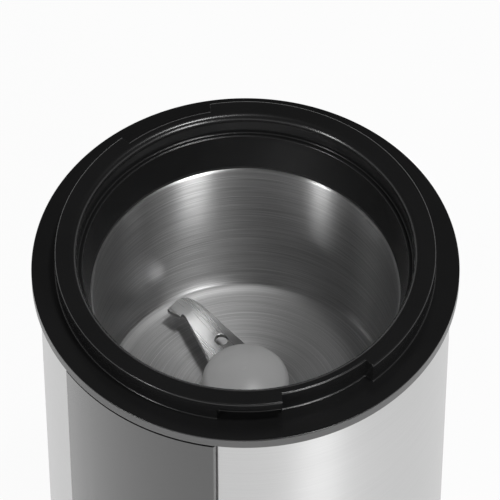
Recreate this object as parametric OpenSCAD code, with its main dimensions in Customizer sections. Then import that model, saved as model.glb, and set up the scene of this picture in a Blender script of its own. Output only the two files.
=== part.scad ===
// Electric spice grinder. A round body carries a fixed steel bowl, a bayonet collar for the lid,
// a direct-drive universal motor, a sprung pulse button in its front panel and a lid interlock.
// The origin is on the table, at the centre of the four feet. The front faces -Y.

/* [Body] */
// Height of the collar's flange above the table
body_h = 160; // [150:1:190]
// Outer radius of the collar and of the base
collar_r = 54; // [50:0.5:58]
// How far the collar stands out over the steel sleeve
lip_step = 1.9; // [1.6:0.1:2.1]
// Height of the grey band round the flange
lip_h = 3.3; // [2.8:0.1:5]
// Wall of the grey band beside the flange, under the flange's thin edge
lip_rim = 0.4; // [0.3:0.1:0.8]
// Sheet thickness of the sleeve
sleeve_wall = 0.7; // [0.5:0.1:0.9]
// How far the sleeve's edges fold inwards beside the panel
hem_depth = 1; // [0.6:0.1:1]
// Angle that the front panel takes of the sleeve
panel_angle = 49.3; // [44:0.1:60]
// How far the front panel's rim reaches in from the sleeve's face
panel_reach = 1.6; // [1.3:0.1:1.8]
// How far the panel's face stands inside the collar's edge
panel_set = 0.2; // [0.1:0.1:0.5]
// Wall of the front panel
panel_wall = 2.2; // [1.8:0.1:2.3]
// Gap between the panel and the grey band above it
panel_top_gap = 0.8; // [0.6:0.1:1.2]
// Gap between the panel and the sleeve's folded edges
panel_side_gap = 0.25; // [0.15:0.05:0.5]
// Chamfer along the panel's upright edges
panel_chamfer = 0.5; // [0.3:0.1:1]

/* [Collar] */
// Thickness of the flange
flange_t = 1.8; // [1.6:0.1:2.4]
// Thickness of the flange's edge, over the grey band
edge_t = 0.4; // [0.3:0.1:0.8]
// Width of the flange, from its edge to the bayonet ring
flange_w = 6.1; // [5.8:0.1:6.6]
// Height of the bayonet ring above the flange
ring_h = 6.4; // [6:0.1:9]
// Width of the ring's top, from its outer edge to the lid's register bore
ring_w = 5.6; // [5.2:0.1:6]
// Radius of the rounded lead-in on top of the register bore
lead_in = 1.7; // [1:0.1:2]
// Height of the register's ledge above the flange
ledge_h = 0.4; // [0.2:0.1:1]
// Width of the ledge
ledge_w = 1.2; // [0.8:0.1:1.6]
// Depth from the flange to the foot of the throat
throat_h = 10; // [9:0.5:13]
// How deep the lid's tabs reach into the ring
tab_depth = 2.55; // [2:0.05:2.8]
// Angle of each entry notch
notch_angle = 30; // [22:1:34]
// Middle of the front entry notch, from +X
notch_middle = -31.5; // [-40:0.1:-20]
// Angle of each undercut slot beside its notch
slot_angle = 19.5; // [15:0.5:24]
// Height of the undercut slots
slot_h = 4.1; // [3:0.1:4.4]
// Rounding of the ring's edges
ring_round = 0.4; // [0.2:0.1:0.8]

/* [Bowl] */
// How far the steel bowl's wall stands inside the register bore
bowl_step = 3.5; // [3.3:0.1:4.2]
// Sheet thickness of the bowl
bowl_wall = 0.8; // [0.6:0.1:1]
// Depth from the flange to the bowl's floor
bowl_depth = 59; // [50:1:62]
// Fillet between the bowl's wall and floor
bowl_fillet = 4; // [2:0.5:8]
// Width of the bowl's clamped rim
bowl_rim_w = 5.4; // [5:0.1:5.8]
// Thickness of the flat seal on the rim
seal_t = 0.8; // [0.6:0.1:1.5]

/* [Blade and hub] */
// Radius of the hub's dome
hub_r = 11.3; // [9:0.1:13]
// Height of the dome over its straight skirt
hub_dome_h = 5.6; // [4.8:0.1:9]
// Radius of the dome's shoulder
hub_shoulder = 3.4; // [2:0.1:4]
// Height of the dome's straight skirt
hub_skirt = 0.8; // [0.4:0.1:3]
// Height of the blade's top over the bowl's floor
blade_lift = 7.9; // [7:0.1:14]
// Thickness of the blade
blade_t = 1.2; // [0.8:0.1:1.6]
// Distance from each arm's bend to the bowl's wall
tip_room = 11.2; // [10.8:0.1:16]
// Leading edge's distance from the axis, at the axis and at the bend
lead_root = 8.8; // [7:0.1:10]
// Leading edge's distance from the arm's line at the bend
lead_tip = 6; // [5:0.1:7]
// Trailing edge's distance from the arm's line, at the axis
trail_root = 5.7; // [4:0.1:7]
// How far the trailing edge has crossed the arm's line at the bend
trail_tip = 0.35; // [0:0.05:1]
// Radius of the arms' lengthwise camber
camber_r = 30; // [20:1:60]
// Length of each bent tip
tip_len = 6; // [4:0.1:6.4]
// Width of each bent tip
tip_w = 6.6; // [6:0.1:7.4]
// Angle of each bent tip to its arm
tip_bend = 22; // [0:1:30]
// Angle of the bend line off square
tip_skew = 13; // [0:1:16]
// Rounding of each tip's outer corner
tip_round = 2.6; // [1:0.1:3]
// Radius of the hole in each arm
arm_hole_r = 1.75; // [1:0.05:2.2]
// Distance of that hole from the axis, along the arm
arm_hole_x = 15; // [13.6:0.1:20]
// Distance of that hole from the arm's line
arm_hole_y = -3.4; // [-4.4:0.1:-2]
// Direction of the arm with the lowered tip, from +X
blade_turn = 159.3; // [0:0.1:360]

/* [Motor] */
// Radius of the motor's shaft
shaft_r = 3; // [2.8:0.1:3.4]
// Radial running clearance of the shaft in its bushes
run_gap = 0.03; // [0.02:0.01:0.06]
// Width of the stator, in a motor of the standard corner radius
stator_w = 58; // [56:1:60]
// Depth of the stator, in such a motor
stator_d = 50; // [48:1:52]
// Corner radius of the standard motor; the fitted one scales with the room between the legs
corner_std = 36; // [34:0.5:40]
// Radius of the armature
armature_r = 15.8; // [14.5:0.1:16]
// Air gap between the armature and the poles
air_gap = 0.5; // [0.35:0.05:0.8]
// Number of slots in the armature
slot_count = 12; // [8:2:14]
// Radius of the commutator
commutator_r = 9; // [8.6:0.1:9.6]
// Radius of the cooling fan
fan_r = 26; // [20:1:27]
// Height of the cooling fan
fan_h = 9; // [6:0.5:9.5]
// Number of fan vanes
fan_vanes = 11; // [7:1:15]
// Room between the fan and the base plate
fan_room = 14.2; // [12:0.1:20]
// Thickness of the rubber motor mounts
mount_t = 4; // [3:0.5:6]

/* [Base] */
// Height of the rubber feet
foot_h = 3; // [2:0.5:5]
// Radius of the rubber feet
foot_r = 7; // [5:0.5:7.5]
// Distance of each foot's middle from the base plate's edge
foot_inset = 8.2; // [7.7:0.1:12]
// Thickness of the base plate
plate_t = 2.5; // [2.2:0.1:4]
// Height of the base ring's top above the table
base_h = 24; // [23:0.5:30]
// Radius of the cord hole through the gland
cord_r = 3.3; // [2.5:0.1:3.8]
// Number of vent slots in the base plate
vent_count = 9; // [5:2:11]

/* [Button] */
// Distance of the pulse button's middle below the frame's web
button_drop = 20; // [16:1:30]
// Radius of the pulse button
button_r = 12; // [9:0.1:13]
// Gap round the button
button_gap = 0.3; // [0.2:0.05:0.5]
// How far the button's face stands out of the panel
button_proud = 0.2; // [0:0.1:1.2]
// Travel of the button
button_travel = 2; // [1:0.1:2.4]

/* [Interlock] */
// Radius of the interlock pin
pin_r = 1.1; // [0.9:0.05:1.15]
// Travel of the interlock pin
pin_travel = 1; // [0.6:0.1:1.1]
// Radial clearance of the pin in its guide
pin_gap = 0.06; // [0.04:0.01:0.1]
// Angle of the pin from the slot's closed end
pin_angle = 4.6; // [3:0.1:8]

/* [Hidden] */
$fn = 96;

// Overshoot of every cutter past the face that it opens
over = 0.5;
// Gap between pieces on different bodies that pass or stop on each other
clear_gap = 0.3;

// Levels, from the flange down
lip_z = body_h - lip_h;
throat_z = body_h - throat_h;
bowl_top_z = throat_z - seal_t;
frame_top_z = bowl_top_z - bowl_wall;
bowl_floor_z = body_h - bowl_depth;
bowl_under_z = bowl_floor_z - bowl_wall;

// Radii of the outer shells, from the collar inwards
sleeve_r = collar_r - lip_step;
sleeve_in = sleeve_r - sleeve_wall;
panel_in = sleeve_r - panel_reach;
panel_r = collar_r - panel_set;
panel_rim = 3;
skirt_gap = 0.2;
skirt_r = panel_in - skirt_gap;
skirt_wall = 1.4;
tongue_t = 0.7;
tongue_gap = 0.1;
tongue_h = 1.5;
trim_in = panel_in + tongue_t + tongue_gap;
flange_r = collar_r - lip_rim;
ring_r = collar_r - flange_w;
throat_r = ring_r - ring_w;
bowl_r = throat_r - bowl_step;

// Collar
wall_t = 2.2;
ledge_r = throat_r - ledge_w;
ledge_chamfer = 0.35;
throat_foot_r = bowl_r + 0.6;
tab_wall_r = ring_r - tab_depth;
edge_round = 0.15;
notch_start = notch_middle - notch_angle / 2;
slot_start = notch_start - slot_angle;
bowl_rim_r = bowl_r + bowl_rim_w;
rim_round = 0.6;
collar_screw_count = 4;
collar_screw_turn = 45;
collar_screw_r = 1.4;
collar_screw_place = bowl_rim_r + 2.8;
collar_screw_bite = 6.5;
collar_boss_r = 2.3;
collar_rib_count = 12;
rib_t = 1.2;

// Frame
frame_ring_t = 3.2;
frame_ring_z = frame_top_z - frame_ring_t;
tube_in = bowl_r + bowl_wall + 2.4;
tube_r = tube_in + 1.8;
web_t = 3;
web_drop = 9.2;
web_top_z = bowl_under_z - web_drop;
web_z = web_top_z - web_t;
web_r = panel_in - 2;
hub_clear_r = 13;
leg_r = 4;
leg_inset = 6.5;
leg_place = panel_in - leg_inset;
leg_turn = 45;
bolt_boss_h = 4;

// Base
plate_z = foot_h;
plate_top_z = plate_z + plate_t;
plate_gap = 0.2;
base_in = panel_in - 0.1;
plate_r = base_in - plate_gap;
foot_place = plate_r - foot_inset;
base_drop = 1;
groove_d = 2;
groove_gap = 0.1;
groove_z = base_h - groove_d;
tab_t = 2;
tab_in = leg_place - 5;
tab_span = 26;
tab_top_z = plate_top_z + tab_t;
base_round = 1;
screw_r = 1.5;
screw_head_r = 2.9;
screw_head_h = 1.4;
screw_bite = 12;
hole_gap = 0.2;

// Cord gland, in the back of the base ring
gland_flange_r = cord_r + 3;
gland_neck_r = cord_r + 1.7;
gland_z = plate_top_z + gland_flange_r + clear_gap;
recess_d = 2.4;
gland_flange_t = recess_d - 0.2;
recess_margin = 0.6;

// Shaft line, from the bowl's floor
blade_z = bowl_floor_z + blade_lift;
blade_under_z = blade_z - blade_t;
arm_len = bowl_r - tip_room;
barrel_r = 7.5;
barrel_end_z = web_z + 1;
hub_flange_r = 10.5;
hub_flange_t = 2.2;
hub_nut_t = 4;
hub_nut_r = 12;
bush_r = 5;
bush_len = 10;
seal_r = 6;
thread_r = 2.5;
thread_len = 3.5;
nut_flats_r = 4;
nut_h = 3;
spacer_r = 5.5;
blade_disc_r = 8;

// Motor: its plan scales with the room between the legs
motor_gap = 4;
corner_r = leg_place - leg_r - motor_gap;
motor_k = corner_r / corner_std;
core_w = stator_w * motor_k;
core_d = stator_d * motor_k;
rotor_r = armature_r * motor_k;
comm_r = commutator_r * motor_k;
wheel_r = fan_r * motor_k;
bolt_inset = 4.5 * motor_k;
bolt_x = core_w / 2 - bolt_inset;
bolt_y = core_d / 2 - bolt_inset;
bolt_r = 2;
bolt_head_r = 3.5;
bolt_head_h = 3;
post_r = 4.5;
bore_r = rotor_r + air_gap;
shoe_t = 4 * motor_k;
shoe_half_angle = 48;
neck_w = 14 * motor_k;
yoke_t = 3.5 * motor_k;
window_r = 28.2 * motor_k;
coil_t = 4 * motor_k;
coil_gap = 0.2;
bearing_r = 6;
bearing_boss_r = 9;
bearing_len = 6;

// Motor levels: the fan and lower bracket stand over the plate, and the stack takes what is left
bracket_t = 3;
seat_h = 0.4;
bracket_top_z = web_z - mount_t;
post_h = 12;
stack_top_z = bracket_top_z - post_h;
upper_bearing_z = bracket_top_z - bearing_len;
fan_z = plate_top_z + fan_room;
fan_top_z = fan_z + fan_h;
fan_gap = 0.8;
lower_bearing_z = fan_top_z + fan_gap;
bearing_set = 0.5;
lower_top_z = lower_bearing_z + bearing_len + bearing_set;
lower_z = lower_top_z - bracket_t;
lower_post_h = 14;
stack_z = lower_top_z + lower_post_h;
stack_h = stack_top_z - stack_z;
winding_h = 4;
washer_t = 0.8;

// Brush gear, along Y
commutator_h = 7.5;
commutator_z = lower_top_z + 1.5;
brush_z = commutator_z + commutator_h / 2;
brush_w = 5;
holder_gap = 0.1;
holder_wall = 0.8;
holder_in = comm_r + 1.2;
holder_out = core_d / 2 + 1;
brush_touch = 0.1;
spring_room = 6;
brush_back = holder_out - spring_room;
brush_spring_r = 1.8;
cap_depth = 1.5;

// Button, along -Y
button_z = web_z - button_drop;
guide_r = button_r + button_gap;
guide_wall = 2.7;
guide_y = -(sqrt(pow(panel_in, 2) - pow(guide_r + guide_wall, 2)) - 0.7);
button_flange_t = 1.2;
button_flange_y = guide_y + clear_gap;
carrier_y = button_flange_y + button_flange_t + 5;
carrier_t = 2;
carrier_half_h = button_r;
boss_inset = 3.43;
carrier_boss_x = sleeve_r * sin(panel_angle / 2) - boss_inset;
carrier_boss_r = 2.6;
carrier_half_w = carrier_boss_x + 3;
carrier_screw_r = 1.2;
carrier_screw_bite = 3.6;
stem_r = 2.5;
stem_end_y = carrier_y - 0.5;
switch_touch_y = stem_end_y + button_travel + clear_gap;
switch_w = 20;
switch_h = 6.4;
switch_d = 8;
switch_pin_len = 3;

// Interlock, at the closed end of the rear slot
pin_place = (ring_r + tab_wall_r) / 2;
pin_turn = slot_start + 180 + pin_angle;
pin_top_z = body_h + pin_travel;
pin_flange_r = 1.9;
pin_flange_t = 1;
guide_foot_z = body_h - flange_t - 4.9;
pin_flange_z = guide_foot_z - clear_gap - pin_flange_t;
pin_guide_r = 2.4;
pin_end_z = frame_ring_z - 3.7;
lock_switch_z = pin_end_z - pin_travel - clear_gap;
lock_switch_w = 12.8;
lock_switch_h = 9.6;
lock_switch_d = 5.6;
cradle_t = 1.2;

// Board, over the back of the base plate
board_w = 40;
board_d = 24;
board_t = 1.6;
board_inset = 26.4;
board_y = base_in - board_inset;
board_z = plate_top_z + 4;
board_top_z = board_z + board_t;
standoff_r = 2.2;

// Coils of wire
coil_steps = 14;
coil_sides = 6;

// A straight tube round Z, from one level to another.
module tube(outer, inner, z0, z1) {
    translate([0, 0, z0])
        difference() {
            cylinder(r = outer, h = z1 - z0);
            translate([0, 0, -over]) cylinder(r = inner, h = z1 - z0 + 2 * over);
        }
}

// A round bar on Z, from one level to another.
module bar(r, z0, z1) {
    translate([0, 0, z0]) cylinder(r = r, h = z1 - z0);
}

// Part of a tube, between two angles.
module arc_wall(outer, inner, z0, z1, a0, a1) {
    rotate([0, 0, a0])
        rotate_extrude(angle = a1 - a0)
            translate([inner, z0]) square([outer - inner, z1 - z0]);
}

// Children repeated round Z at a given distance.
module around(count, distance, turn = 0) {
    for (i = [0 : count - 1])
        rotate([0, 0, turn + i * 360 / count]) translate([distance, 0, 0]) children();
}

// Children at the four bolt places.
module at_bolts() {
    for (x = [-bolt_x, bolt_x])
        for (y = [-bolt_y, bolt_y])
            translate([x, y, 0]) children();
}

// Children at the interlock pin's place.
module at_pin() {
    rotate([0, 0, pin_turn]) translate([pin_place, 0, 0]) children();
}

// Children turned so that their Z runs along +Y from a point.
module facing_back(x, y, z) {
    translate([x, y, z]) rotate([-90, 0, 0]) children();
}

// A closed helix of round wire, standing on Z = 0.
module coil_spring(r, wire, h, turns) {
    steps = turns * coil_steps;
    rise = (h - 2 * wire) / steps;
    rings = [
        for (i = [0 : steps])
            for (k = [0 : coil_sides - 1])
                let (a = 360 * i / coil_steps, b = 360 * k / coil_sides, q = r + wire * cos(b))
                    [q * cos(a), q * sin(a), wire + rise * i + wire * sin(b)]
    ];
    sides = [
        for (i = [0 : steps - 1])
            for (k = [0 : coil_sides - 1])
                let (n = (k + 1) % coil_sides, low = i * coil_sides, high = low + coil_sides)
                    [low + k, high + k, high + n, low + n]
    ];
    first = [for (k = [0 : coil_sides - 1]) k];
    last = [for (k = [coil_sides - 1 : -1 : 0]) steps * coil_sides + k];
    polyhedron(points = rings, faces = concat([first], sides, [last]));
}

// Half outline of a cup with a rounded foot, for a revolve.
module cup_outline(r, fillet, z0, z1) {
    translate([0, z0]) square([r - fillet, z1 - z0]);
    translate([0, z0 + fillet]) square([r, z1 - z0 - fillet]);
    translate([r - fillet, z0 + fillet]) circle(r = fillet);
}

// Outline of a laminated motor frame: a rectangle with its corners cut by a circle.
module frame_outline() {
    intersection() {
        square([core_w, core_d], center = true);
        circle(r = corner_r);
    }
}

// ---- Shells ----

// Steel sleeve, open at the front for the panel, with its upright edges folded in.
module housing_sleeve() {
    half = panel_angle / 2;
    hem_angle = sleeve_wall / sleeve_r * 180 / PI;
    color("silver")
        difference() {
            union() {
                tube(sleeve_r, sleeve_in, groove_z, lip_z);
                for (side = [-1, 1])
                    rotate([0, 0, -90 + side * half])
                        arc_wall(sleeve_in + over / 2, sleeve_in - hem_depth,
                            base_h + clear_gap, lip_z - clear_gap, -hem_angle, hem_angle);
            }
            translate([0, 0, groove_z - over]) linear_extrude(height = body_h) front_wedge(half);
        }
}

// Wedge from the axis towards -Y, given by half its angle.
module front_wedge(half) {
    polygon([[0, 0], [-collar_r * tan(half), -collar_r], [collar_r * tan(half), -collar_r]]);
}

// Grey panel that closes the sleeve's front: a hollow-backed wall with a rim, a tongue at each end
// and a guide for the button.
module front_panel() {
    gap_angle = panel_side_gap / sleeve_r * 180 / PI;
    rim_angle = panel_rim / sleeve_r * 180 / PI;
    half = panel_angle / 2 - gap_angle;
    inner_half = half - rim_angle;
    edge_cut = panel_chamfer * sqrt(2);
    foot_z = base_h + clear_gap;
    top_z = lip_z - panel_top_gap;
    color("gray")
        difference() {
            union() {
                difference() {
                    arc_wall(panel_r, panel_in, foot_z, top_z, -90 - half, -90 + half);
                    arc_wall(panel_r - panel_wall, panel_in - over, foot_z + panel_rim, top_z - panel_rim,
                        -90 - inner_half, -90 + inner_half);
                }
                arc_wall(sleeve_r, sleeve_in, groove_z, foot_z + over, -90 - half, -90 + half);
                arc_wall(panel_in + tongue_t, panel_in, top_z - over, top_z + tongue_h,
                    -90 - half, -90 + half);
                intersection() {
                    union() {
                        facing_back(0, -panel_r, button_z)
                            cylinder(r = guide_r + guide_wall, h = panel_r + guide_y);
                        for (side = [-1, 1])
                            facing_back(side * carrier_boss_x, -panel_r, button_z)
                                cylinder(r = carrier_boss_r, h = panel_r + carrier_y);
                    }
                    bar(panel_r - panel_wall / 2, 0, body_h);
                }
            }
            facing_back(0, -collar_r, button_z) cylinder(r = guide_r, h = collar_r);
            for (side = [-1, 1]) {
                facing_back(side * carrier_boss_x, carrier_y - carrier_screw_bite - over, button_z)
                    cylinder(r = carrier_screw_r, h = carrier_screw_bite + 2 * over);
                rotate([0, 0, -90 + side * half])
                    translate([panel_r, 0, 0])
                        rotate([0, 0, 45])
                            cube([edge_cut, edge_cut, 2 * body_h], center = true);
            }
        }
}

// Satin grey band round the flange, clamped between the flange and the sleeve.
module trim_ring() {
    color("gray") {
        tube(collar_r, trim_in, lip_z, body_h - flange_t);
        tube(collar_r, flange_r, lip_z, body_h - edge_t);
    }
}

// Outline of the collar's revolved body: flange, inner part of the ring, register bore and throat.
module collar_outline() {
    top_z = body_h + ring_h;
    polygon([
        [flange_r, body_h - flange_t],
        [flange_r, body_h - edge_t],
        [collar_r, body_h - edge_t],
        [collar_r, body_h - edge_round],
        [collar_r - edge_round, body_h],
        [tab_wall_r, body_h],
        [tab_wall_r, top_z - ring_round],
        [tab_wall_r - ring_round, top_z],
        [throat_r + lead_in, top_z],
        [throat_r + lead_in, top_z - lead_in],
        [throat_r, top_z - lead_in],
        [throat_r, body_h + ledge_h],
        [ledge_r + ledge_chamfer, body_h + ledge_h],
        [ledge_r, body_h + ledge_h - ledge_chamfer],
        [throat_foot_r, throat_z],
        [throat_foot_r + wall_t, throat_z],
        [ledge_r + wall_t, body_h - flange_t]
    ]);
    translate([throat_r + lead_in, top_z - lead_in]) circle(r = lead_in);
    translate([tab_wall_r - ring_round, top_z - ring_round]) circle(r = ring_round);
}

// Outer part of the ring between two notches, undercut by the slot at one end.
module bayonet_band() {
    top_z = body_h + ring_h;
    root_r = tab_wall_r - over;
    notch_end = notch_start + notch_angle;
    difference() {
        rotate([0, 0, notch_end])
            rotate_extrude(angle = 180 - notch_angle) {
                translate([root_r, body_h - over]) square([ring_r - root_r, ring_h + over - ring_round]);
                translate([root_r, body_h - over]) square([ring_r - root_r - ring_round, ring_h + over]);
                translate([ring_r - ring_round, top_z - ring_round]) circle(r = ring_round);
            }
        arc_wall(ring_r + over, root_r - over, body_h - 2 * over, body_h + slot_h,
            slot_start + 180, notch_start + 181);
    }
}

// Black collar: bayonet ring for the lid, throat over the bowl, skirt, ribs and screw bosses.
module top_collar() {
    under_z = body_h - flange_t;
    color("#1c1c1e")
        difference() {
            union() {
                rotate_extrude() collar_outline();
                for (turn = [0, 180]) rotate([0, 0, turn]) bayonet_band();
                tube(skirt_r, skirt_r - skirt_wall, frame_top_z, under_z + over);
                around(collar_screw_count, collar_screw_place, collar_screw_turn)
                    bar(collar_boss_r, frame_top_z, under_z + over);
                around(collar_rib_count, 0)
                    translate([throat_r, -rib_t / 2, throat_z + 1])
                        cube([skirt_r - throat_r - skirt_wall / 2, rib_t, under_z - throat_z - 1 + over]);
                at_pin() bar(pin_guide_r, guide_foot_z, under_z + over);
            }
            around(collar_screw_count, collar_screw_place, collar_screw_turn)
                bar(collar_screw_r, frame_top_z - over, frame_top_z + collar_screw_bite + over);
            at_pin() {
                bar(pin_r + pin_gap, guide_foot_z - over, body_h + over);
                bar(pin_guide_r + clear_gap, throat_z, guide_foot_z);
            }
        }
}

// Drawn steel bowl with a rounded foot, a clamped rim and a hole for the bearing hub.
module grinding_bowl() {
    color("silver")
        rotate_extrude()
            difference() {
                union() {
                    cup_outline(bowl_r + bowl_wall, bowl_fillet + bowl_wall, bowl_under_z, bowl_top_z);
                    translate([0, frame_top_z]) square([bowl_rim_r, bowl_wall]);
                }
                cup_outline(bowl_r, bowl_fillet, bowl_floor_z, bowl_top_z + over);
                difference() {
                    translate([bowl_r - over, bowl_top_z - rim_round]) square(rim_round + over);
                    translate([bowl_r + rim_round, bowl_top_z - rim_round]) circle(r = rim_round);
                }
                translate([0, bowl_under_z - over]) square([barrel_r, bowl_wall + 2 * over]);
            }
}

// Flat rubber seal between the collar's throat and the bowl's rim.
module bowl_seal() {
    color("#202020") tube(bowl_rim_r - 0.2, throat_foot_r, bowl_top_z, throat_z);
}

// Moulded inner frame: rim ring, tube round the bowl, motor web, legs and the interlock's cradle.
module inner_frame() {
    cradle_in = tube_r - 0.4;
    cradle_out = pin_place + lock_switch_d / 2 + 0.2;
    cradle_half = lock_switch_w / 2 + cradle_t;
    color("#3a3a3c")
        difference() {
            union() {
                tube(panel_in - 0.3, tube_in - 0.7, frame_ring_z, frame_top_z);
                tube(tube_r, tube_in, web_z, frame_ring_z + over);
                tube(web_r, hub_clear_r, web_z, web_top_z);
                around(4, leg_place, leg_turn) bar(leg_r, tab_top_z, web_z + over);
                at_bolts() bar(post_r, web_z + over, web_top_z + bolt_boss_h);
                rotate([0, 0, pin_turn])
                    translate([cradle_in, -cradle_half, lock_switch_z - lock_switch_h - 1.6])
                        cube([cradle_out - cradle_in, 2 * cradle_half, lock_switch_h + 1.6]);
            }
            rotate([0, 0, pin_turn])
                translate([pin_place - lock_switch_d / 2, -lock_switch_w / 2, lock_switch_z - lock_switch_h])
                    cube([lock_switch_d + over, lock_switch_w, lock_switch_h + over]);
            at_pin() bar(pin_r + clear_gap, frame_ring_z - over, frame_top_z + over);
            around(collar_screw_count, collar_screw_place, collar_screw_turn)
                bar(collar_screw_r + hole_gap, frame_ring_z - over, frame_top_z + over);
            at_bolts() bar(bolt_r, web_z - over, web_top_z + bolt_boss_h - 1);
            around(4, leg_place, leg_turn)
                bar(screw_r, tab_top_z - over, plate_z + screw_head_h + screw_bite + 1);
        }
}

// ---- Base ----

// Black base ring: outer wall with the sleeve's groove, four screw tabs and the cord recess.
module base_ring() {
    recess_w = 2 * (gland_flange_r + recess_margin);
    color("#1c1c1e")
        difference() {
            union() {
                rotate_extrude() {
                    translate([base_in, foot_h - base_drop])
                        square([collar_r - base_in, base_h - foot_h + base_drop - base_round]);
                    translate([base_in, base_h - base_round - over])
                        square([collar_r - base_in - base_round, base_round + over]);
                    translate([collar_r - base_round, base_h - base_round]) circle(r = base_round);
                }
                for (i = [0 : 3])
                    arc_wall(base_in + over, tab_in, plate_top_z, tab_top_z,
                        leg_turn + 90 * i - tab_span / 2, leg_turn + 90 * i + tab_span / 2);
            }
            tube(sleeve_r + groove_gap, sleeve_in - groove_gap, groove_z, base_h + over);
            around(4, leg_place, leg_turn) bar(screw_r + hole_gap, plate_top_z - over, tab_top_z + over);
            translate([-recess_w / 2, collar_r - recess_d, gland_z - recess_w / 2])
                cube([recess_w, recess_d + over, recess_w]);
            facing_back(0, base_in - 4, gland_z) cylinder(r = gland_neck_r, h = 10);
        }
}

// Base plate with vent slots, foot holes, countersunk screw seats and board standoffs.
module base_plate() {
    foot_clear = 12;
    vent_in = 13;
    vent_out = foot_place - foot_clear;
    vent_r = 1.5;
    vent_pitch = 16;
    color("#242426")
        difference() {
            union() {
                bar(plate_r, plate_z, plate_top_z);
                board_corners() bar(standoff_r, plate_z + over, board_z);
            }
            for (i = [0 : vent_count - 1])
                rotate([0, 0, -90 + (i - (vent_count - 1) / 2) * vent_pitch]) {
                    translate([vent_in, -vent_r, plate_z - over])
                        cube([vent_out - vent_in, 2 * vent_r, plate_t + 2 * over]);
                    for (x = [vent_in, vent_out])
                        translate([x, 0, 0]) bar(vent_r, plate_z - over, plate_top_z + over);
                }
            around(4, foot_place) bar(foot_neck_r(), plate_z - over, plate_top_z + over);
            around(4, leg_place, leg_turn) {
                bar(screw_r + hole_gap, plate_z - over, plate_top_z + over);
                bar(screw_head_r + hole_gap, plate_z - over, plate_z + screw_head_h);
            }
        }
}

function foot_neck_r() = foot_r * 0.37;

// Children at the four corners that hold the board.
module board_corners() {
    inset = 3;
    for (x = [-board_w / 2 + inset, board_w / 2 - inset])
        for (y = [board_y - board_d / 2 + inset, board_y + board_d / 2 - inset])
            translate([x, y, 0]) children();
}

// Four rubber feet, each with a neck through the plate and a head above it.
module rubber_feet() {
    edge = 0.8;
    color("#151515")
        around(4, foot_place)
            rotate_extrude() {
                translate([0, edge]) square([foot_r, foot_h - edge]);
                square([foot_r - edge, foot_h]);
                translate([foot_r - edge, edge]) circle(r = edge);
                square([foot_neck_r(), plate_top_z + 1]);
                translate([0, plate_top_z]) square([foot_neck_r() + 1, 1.4]);
            }
}

// Four screws that hold the plate and the base ring to the frame's legs.
module base_screws() {
    color("dimgray")
        around(4, leg_place, leg_turn) {
            bar(screw_r, plate_z + 0.2, plate_z + screw_head_h + screw_bite);
            difference() {
                bar(screw_head_r, plate_z + 0.2, plate_z + screw_head_h);
                cross_recess(plate_z + 0.2, 0.8, 2.4);
            }
        }
}

// Cross slot for a screwdriver, cut upwards from a level.
module cross_recess(z, depth, reach) {
    slot_w = 0.7;
    for (turn = [0, 90])
        rotate([0, 0, turn])
            translate([-reach, -slot_w / 2, z - over]) cube([2 * reach, slot_w, depth + over]);
}

// Four screws that clamp the collar, seal and bowl rim to the frame's ring.
module collar_screws() {
    head_r = 2.6;
    head_h = 1.6;
    color("dimgray")
        around(collar_screw_count, collar_screw_place, collar_screw_turn) {
            bar(collar_screw_r, frame_ring_z - head_h / 2, frame_top_z + collar_screw_bite);
            difference() {
                bar(head_r, frame_ring_z - head_h, frame_ring_z);
                cross_recess(frame_ring_z - head_h, 0.8, 2);
            }
        }
}

// ---- Bearing hub under the blade ----

// Hub that passes through the bowl's floor, with a flange inside and a bush bore.
module bearing_hub() {
    flange_z = bowl_floor_z + hub_flange_t;
    color("#2a2a2c")
        difference() {
            union() {
                bar(hub_flange_r, bowl_floor_z, flange_z);
                bar(barrel_r, barrel_end_z, bowl_floor_z + over);
            }
            bar(bush_r, barrel_end_z - over, barrel_end_z + bush_len);
            bar(seal_r, barrel_end_z + bush_len, flange_z + over);
        }
}

// Ring nut that clamps the hub to the bowl from below.
module hub_nut() {
    notch_w = 3;
    color("gray")
        difference() {
            tube(hub_nut_r, barrel_r, bowl_under_z - hub_nut_t, bowl_under_z);
            around(6, hub_nut_r)
                translate([-1.2, -notch_w / 2, bowl_under_z - hub_nut_t - over])
                    cube([3, notch_w, hub_nut_t + 2 * over]);
        }
}

// Sintered bush in the hub.
module hub_bush() {
    color("#b08d57") tube(bush_r, shaft_r + run_gap, barrel_end_z, barrel_end_z + bush_len);
}

// Rubber lip seal over the bush.
module shaft_seal() {
    color("#202020")
        tube(seal_r, shaft_r + run_gap + 0.05, barrel_end_z + bush_len, bowl_floor_z + hub_flange_t - 0.4);
}

// ---- Motor, fixed parts ----

// Bearing bracket: four posts, a cross of arms and a bearing boss.
module bracket(arm_z0, arm_z1, post_z0, post_z1, boss_z0, boss_z1, bore_z0) {
    reach = norm([bolt_x, bolt_y]);
    arm_w = 8;
    difference() {
        union() {
            at_bolts() bar(post_r, post_z0, post_z1);
            for (side = [-1, 1])
                rotate([0, 0, side * atan2(bolt_y, bolt_x)])
                    translate([-reach, -arm_w / 2, arm_z0]) cube([2 * reach, arm_w, arm_z1 - arm_z0]);
            bar(bearing_boss_r + 3, arm_z0, arm_z1);
            bar(bearing_boss_r, boss_z0, boss_z1);
            children();
        }
        bar(bearing_r, bore_z0, bore_z0 + bearing_len);
        bar(shaft_r + 1.5, boss_z0 - over, boss_z1 + over);
        at_bolts() bar(bolt_r, post_z0 - over, post_z1 + over);
    }
}

// Upper bracket, hung from the web by the rubber mounts.
module motor_upper_bracket() {
    color("lightgray")
        bracket(bracket_top_z - bracket_t, bracket_top_z - seat_h, stack_top_z, bracket_top_z,
            upper_bearing_z, bracket_top_z, upper_bearing_z);
}

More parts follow.
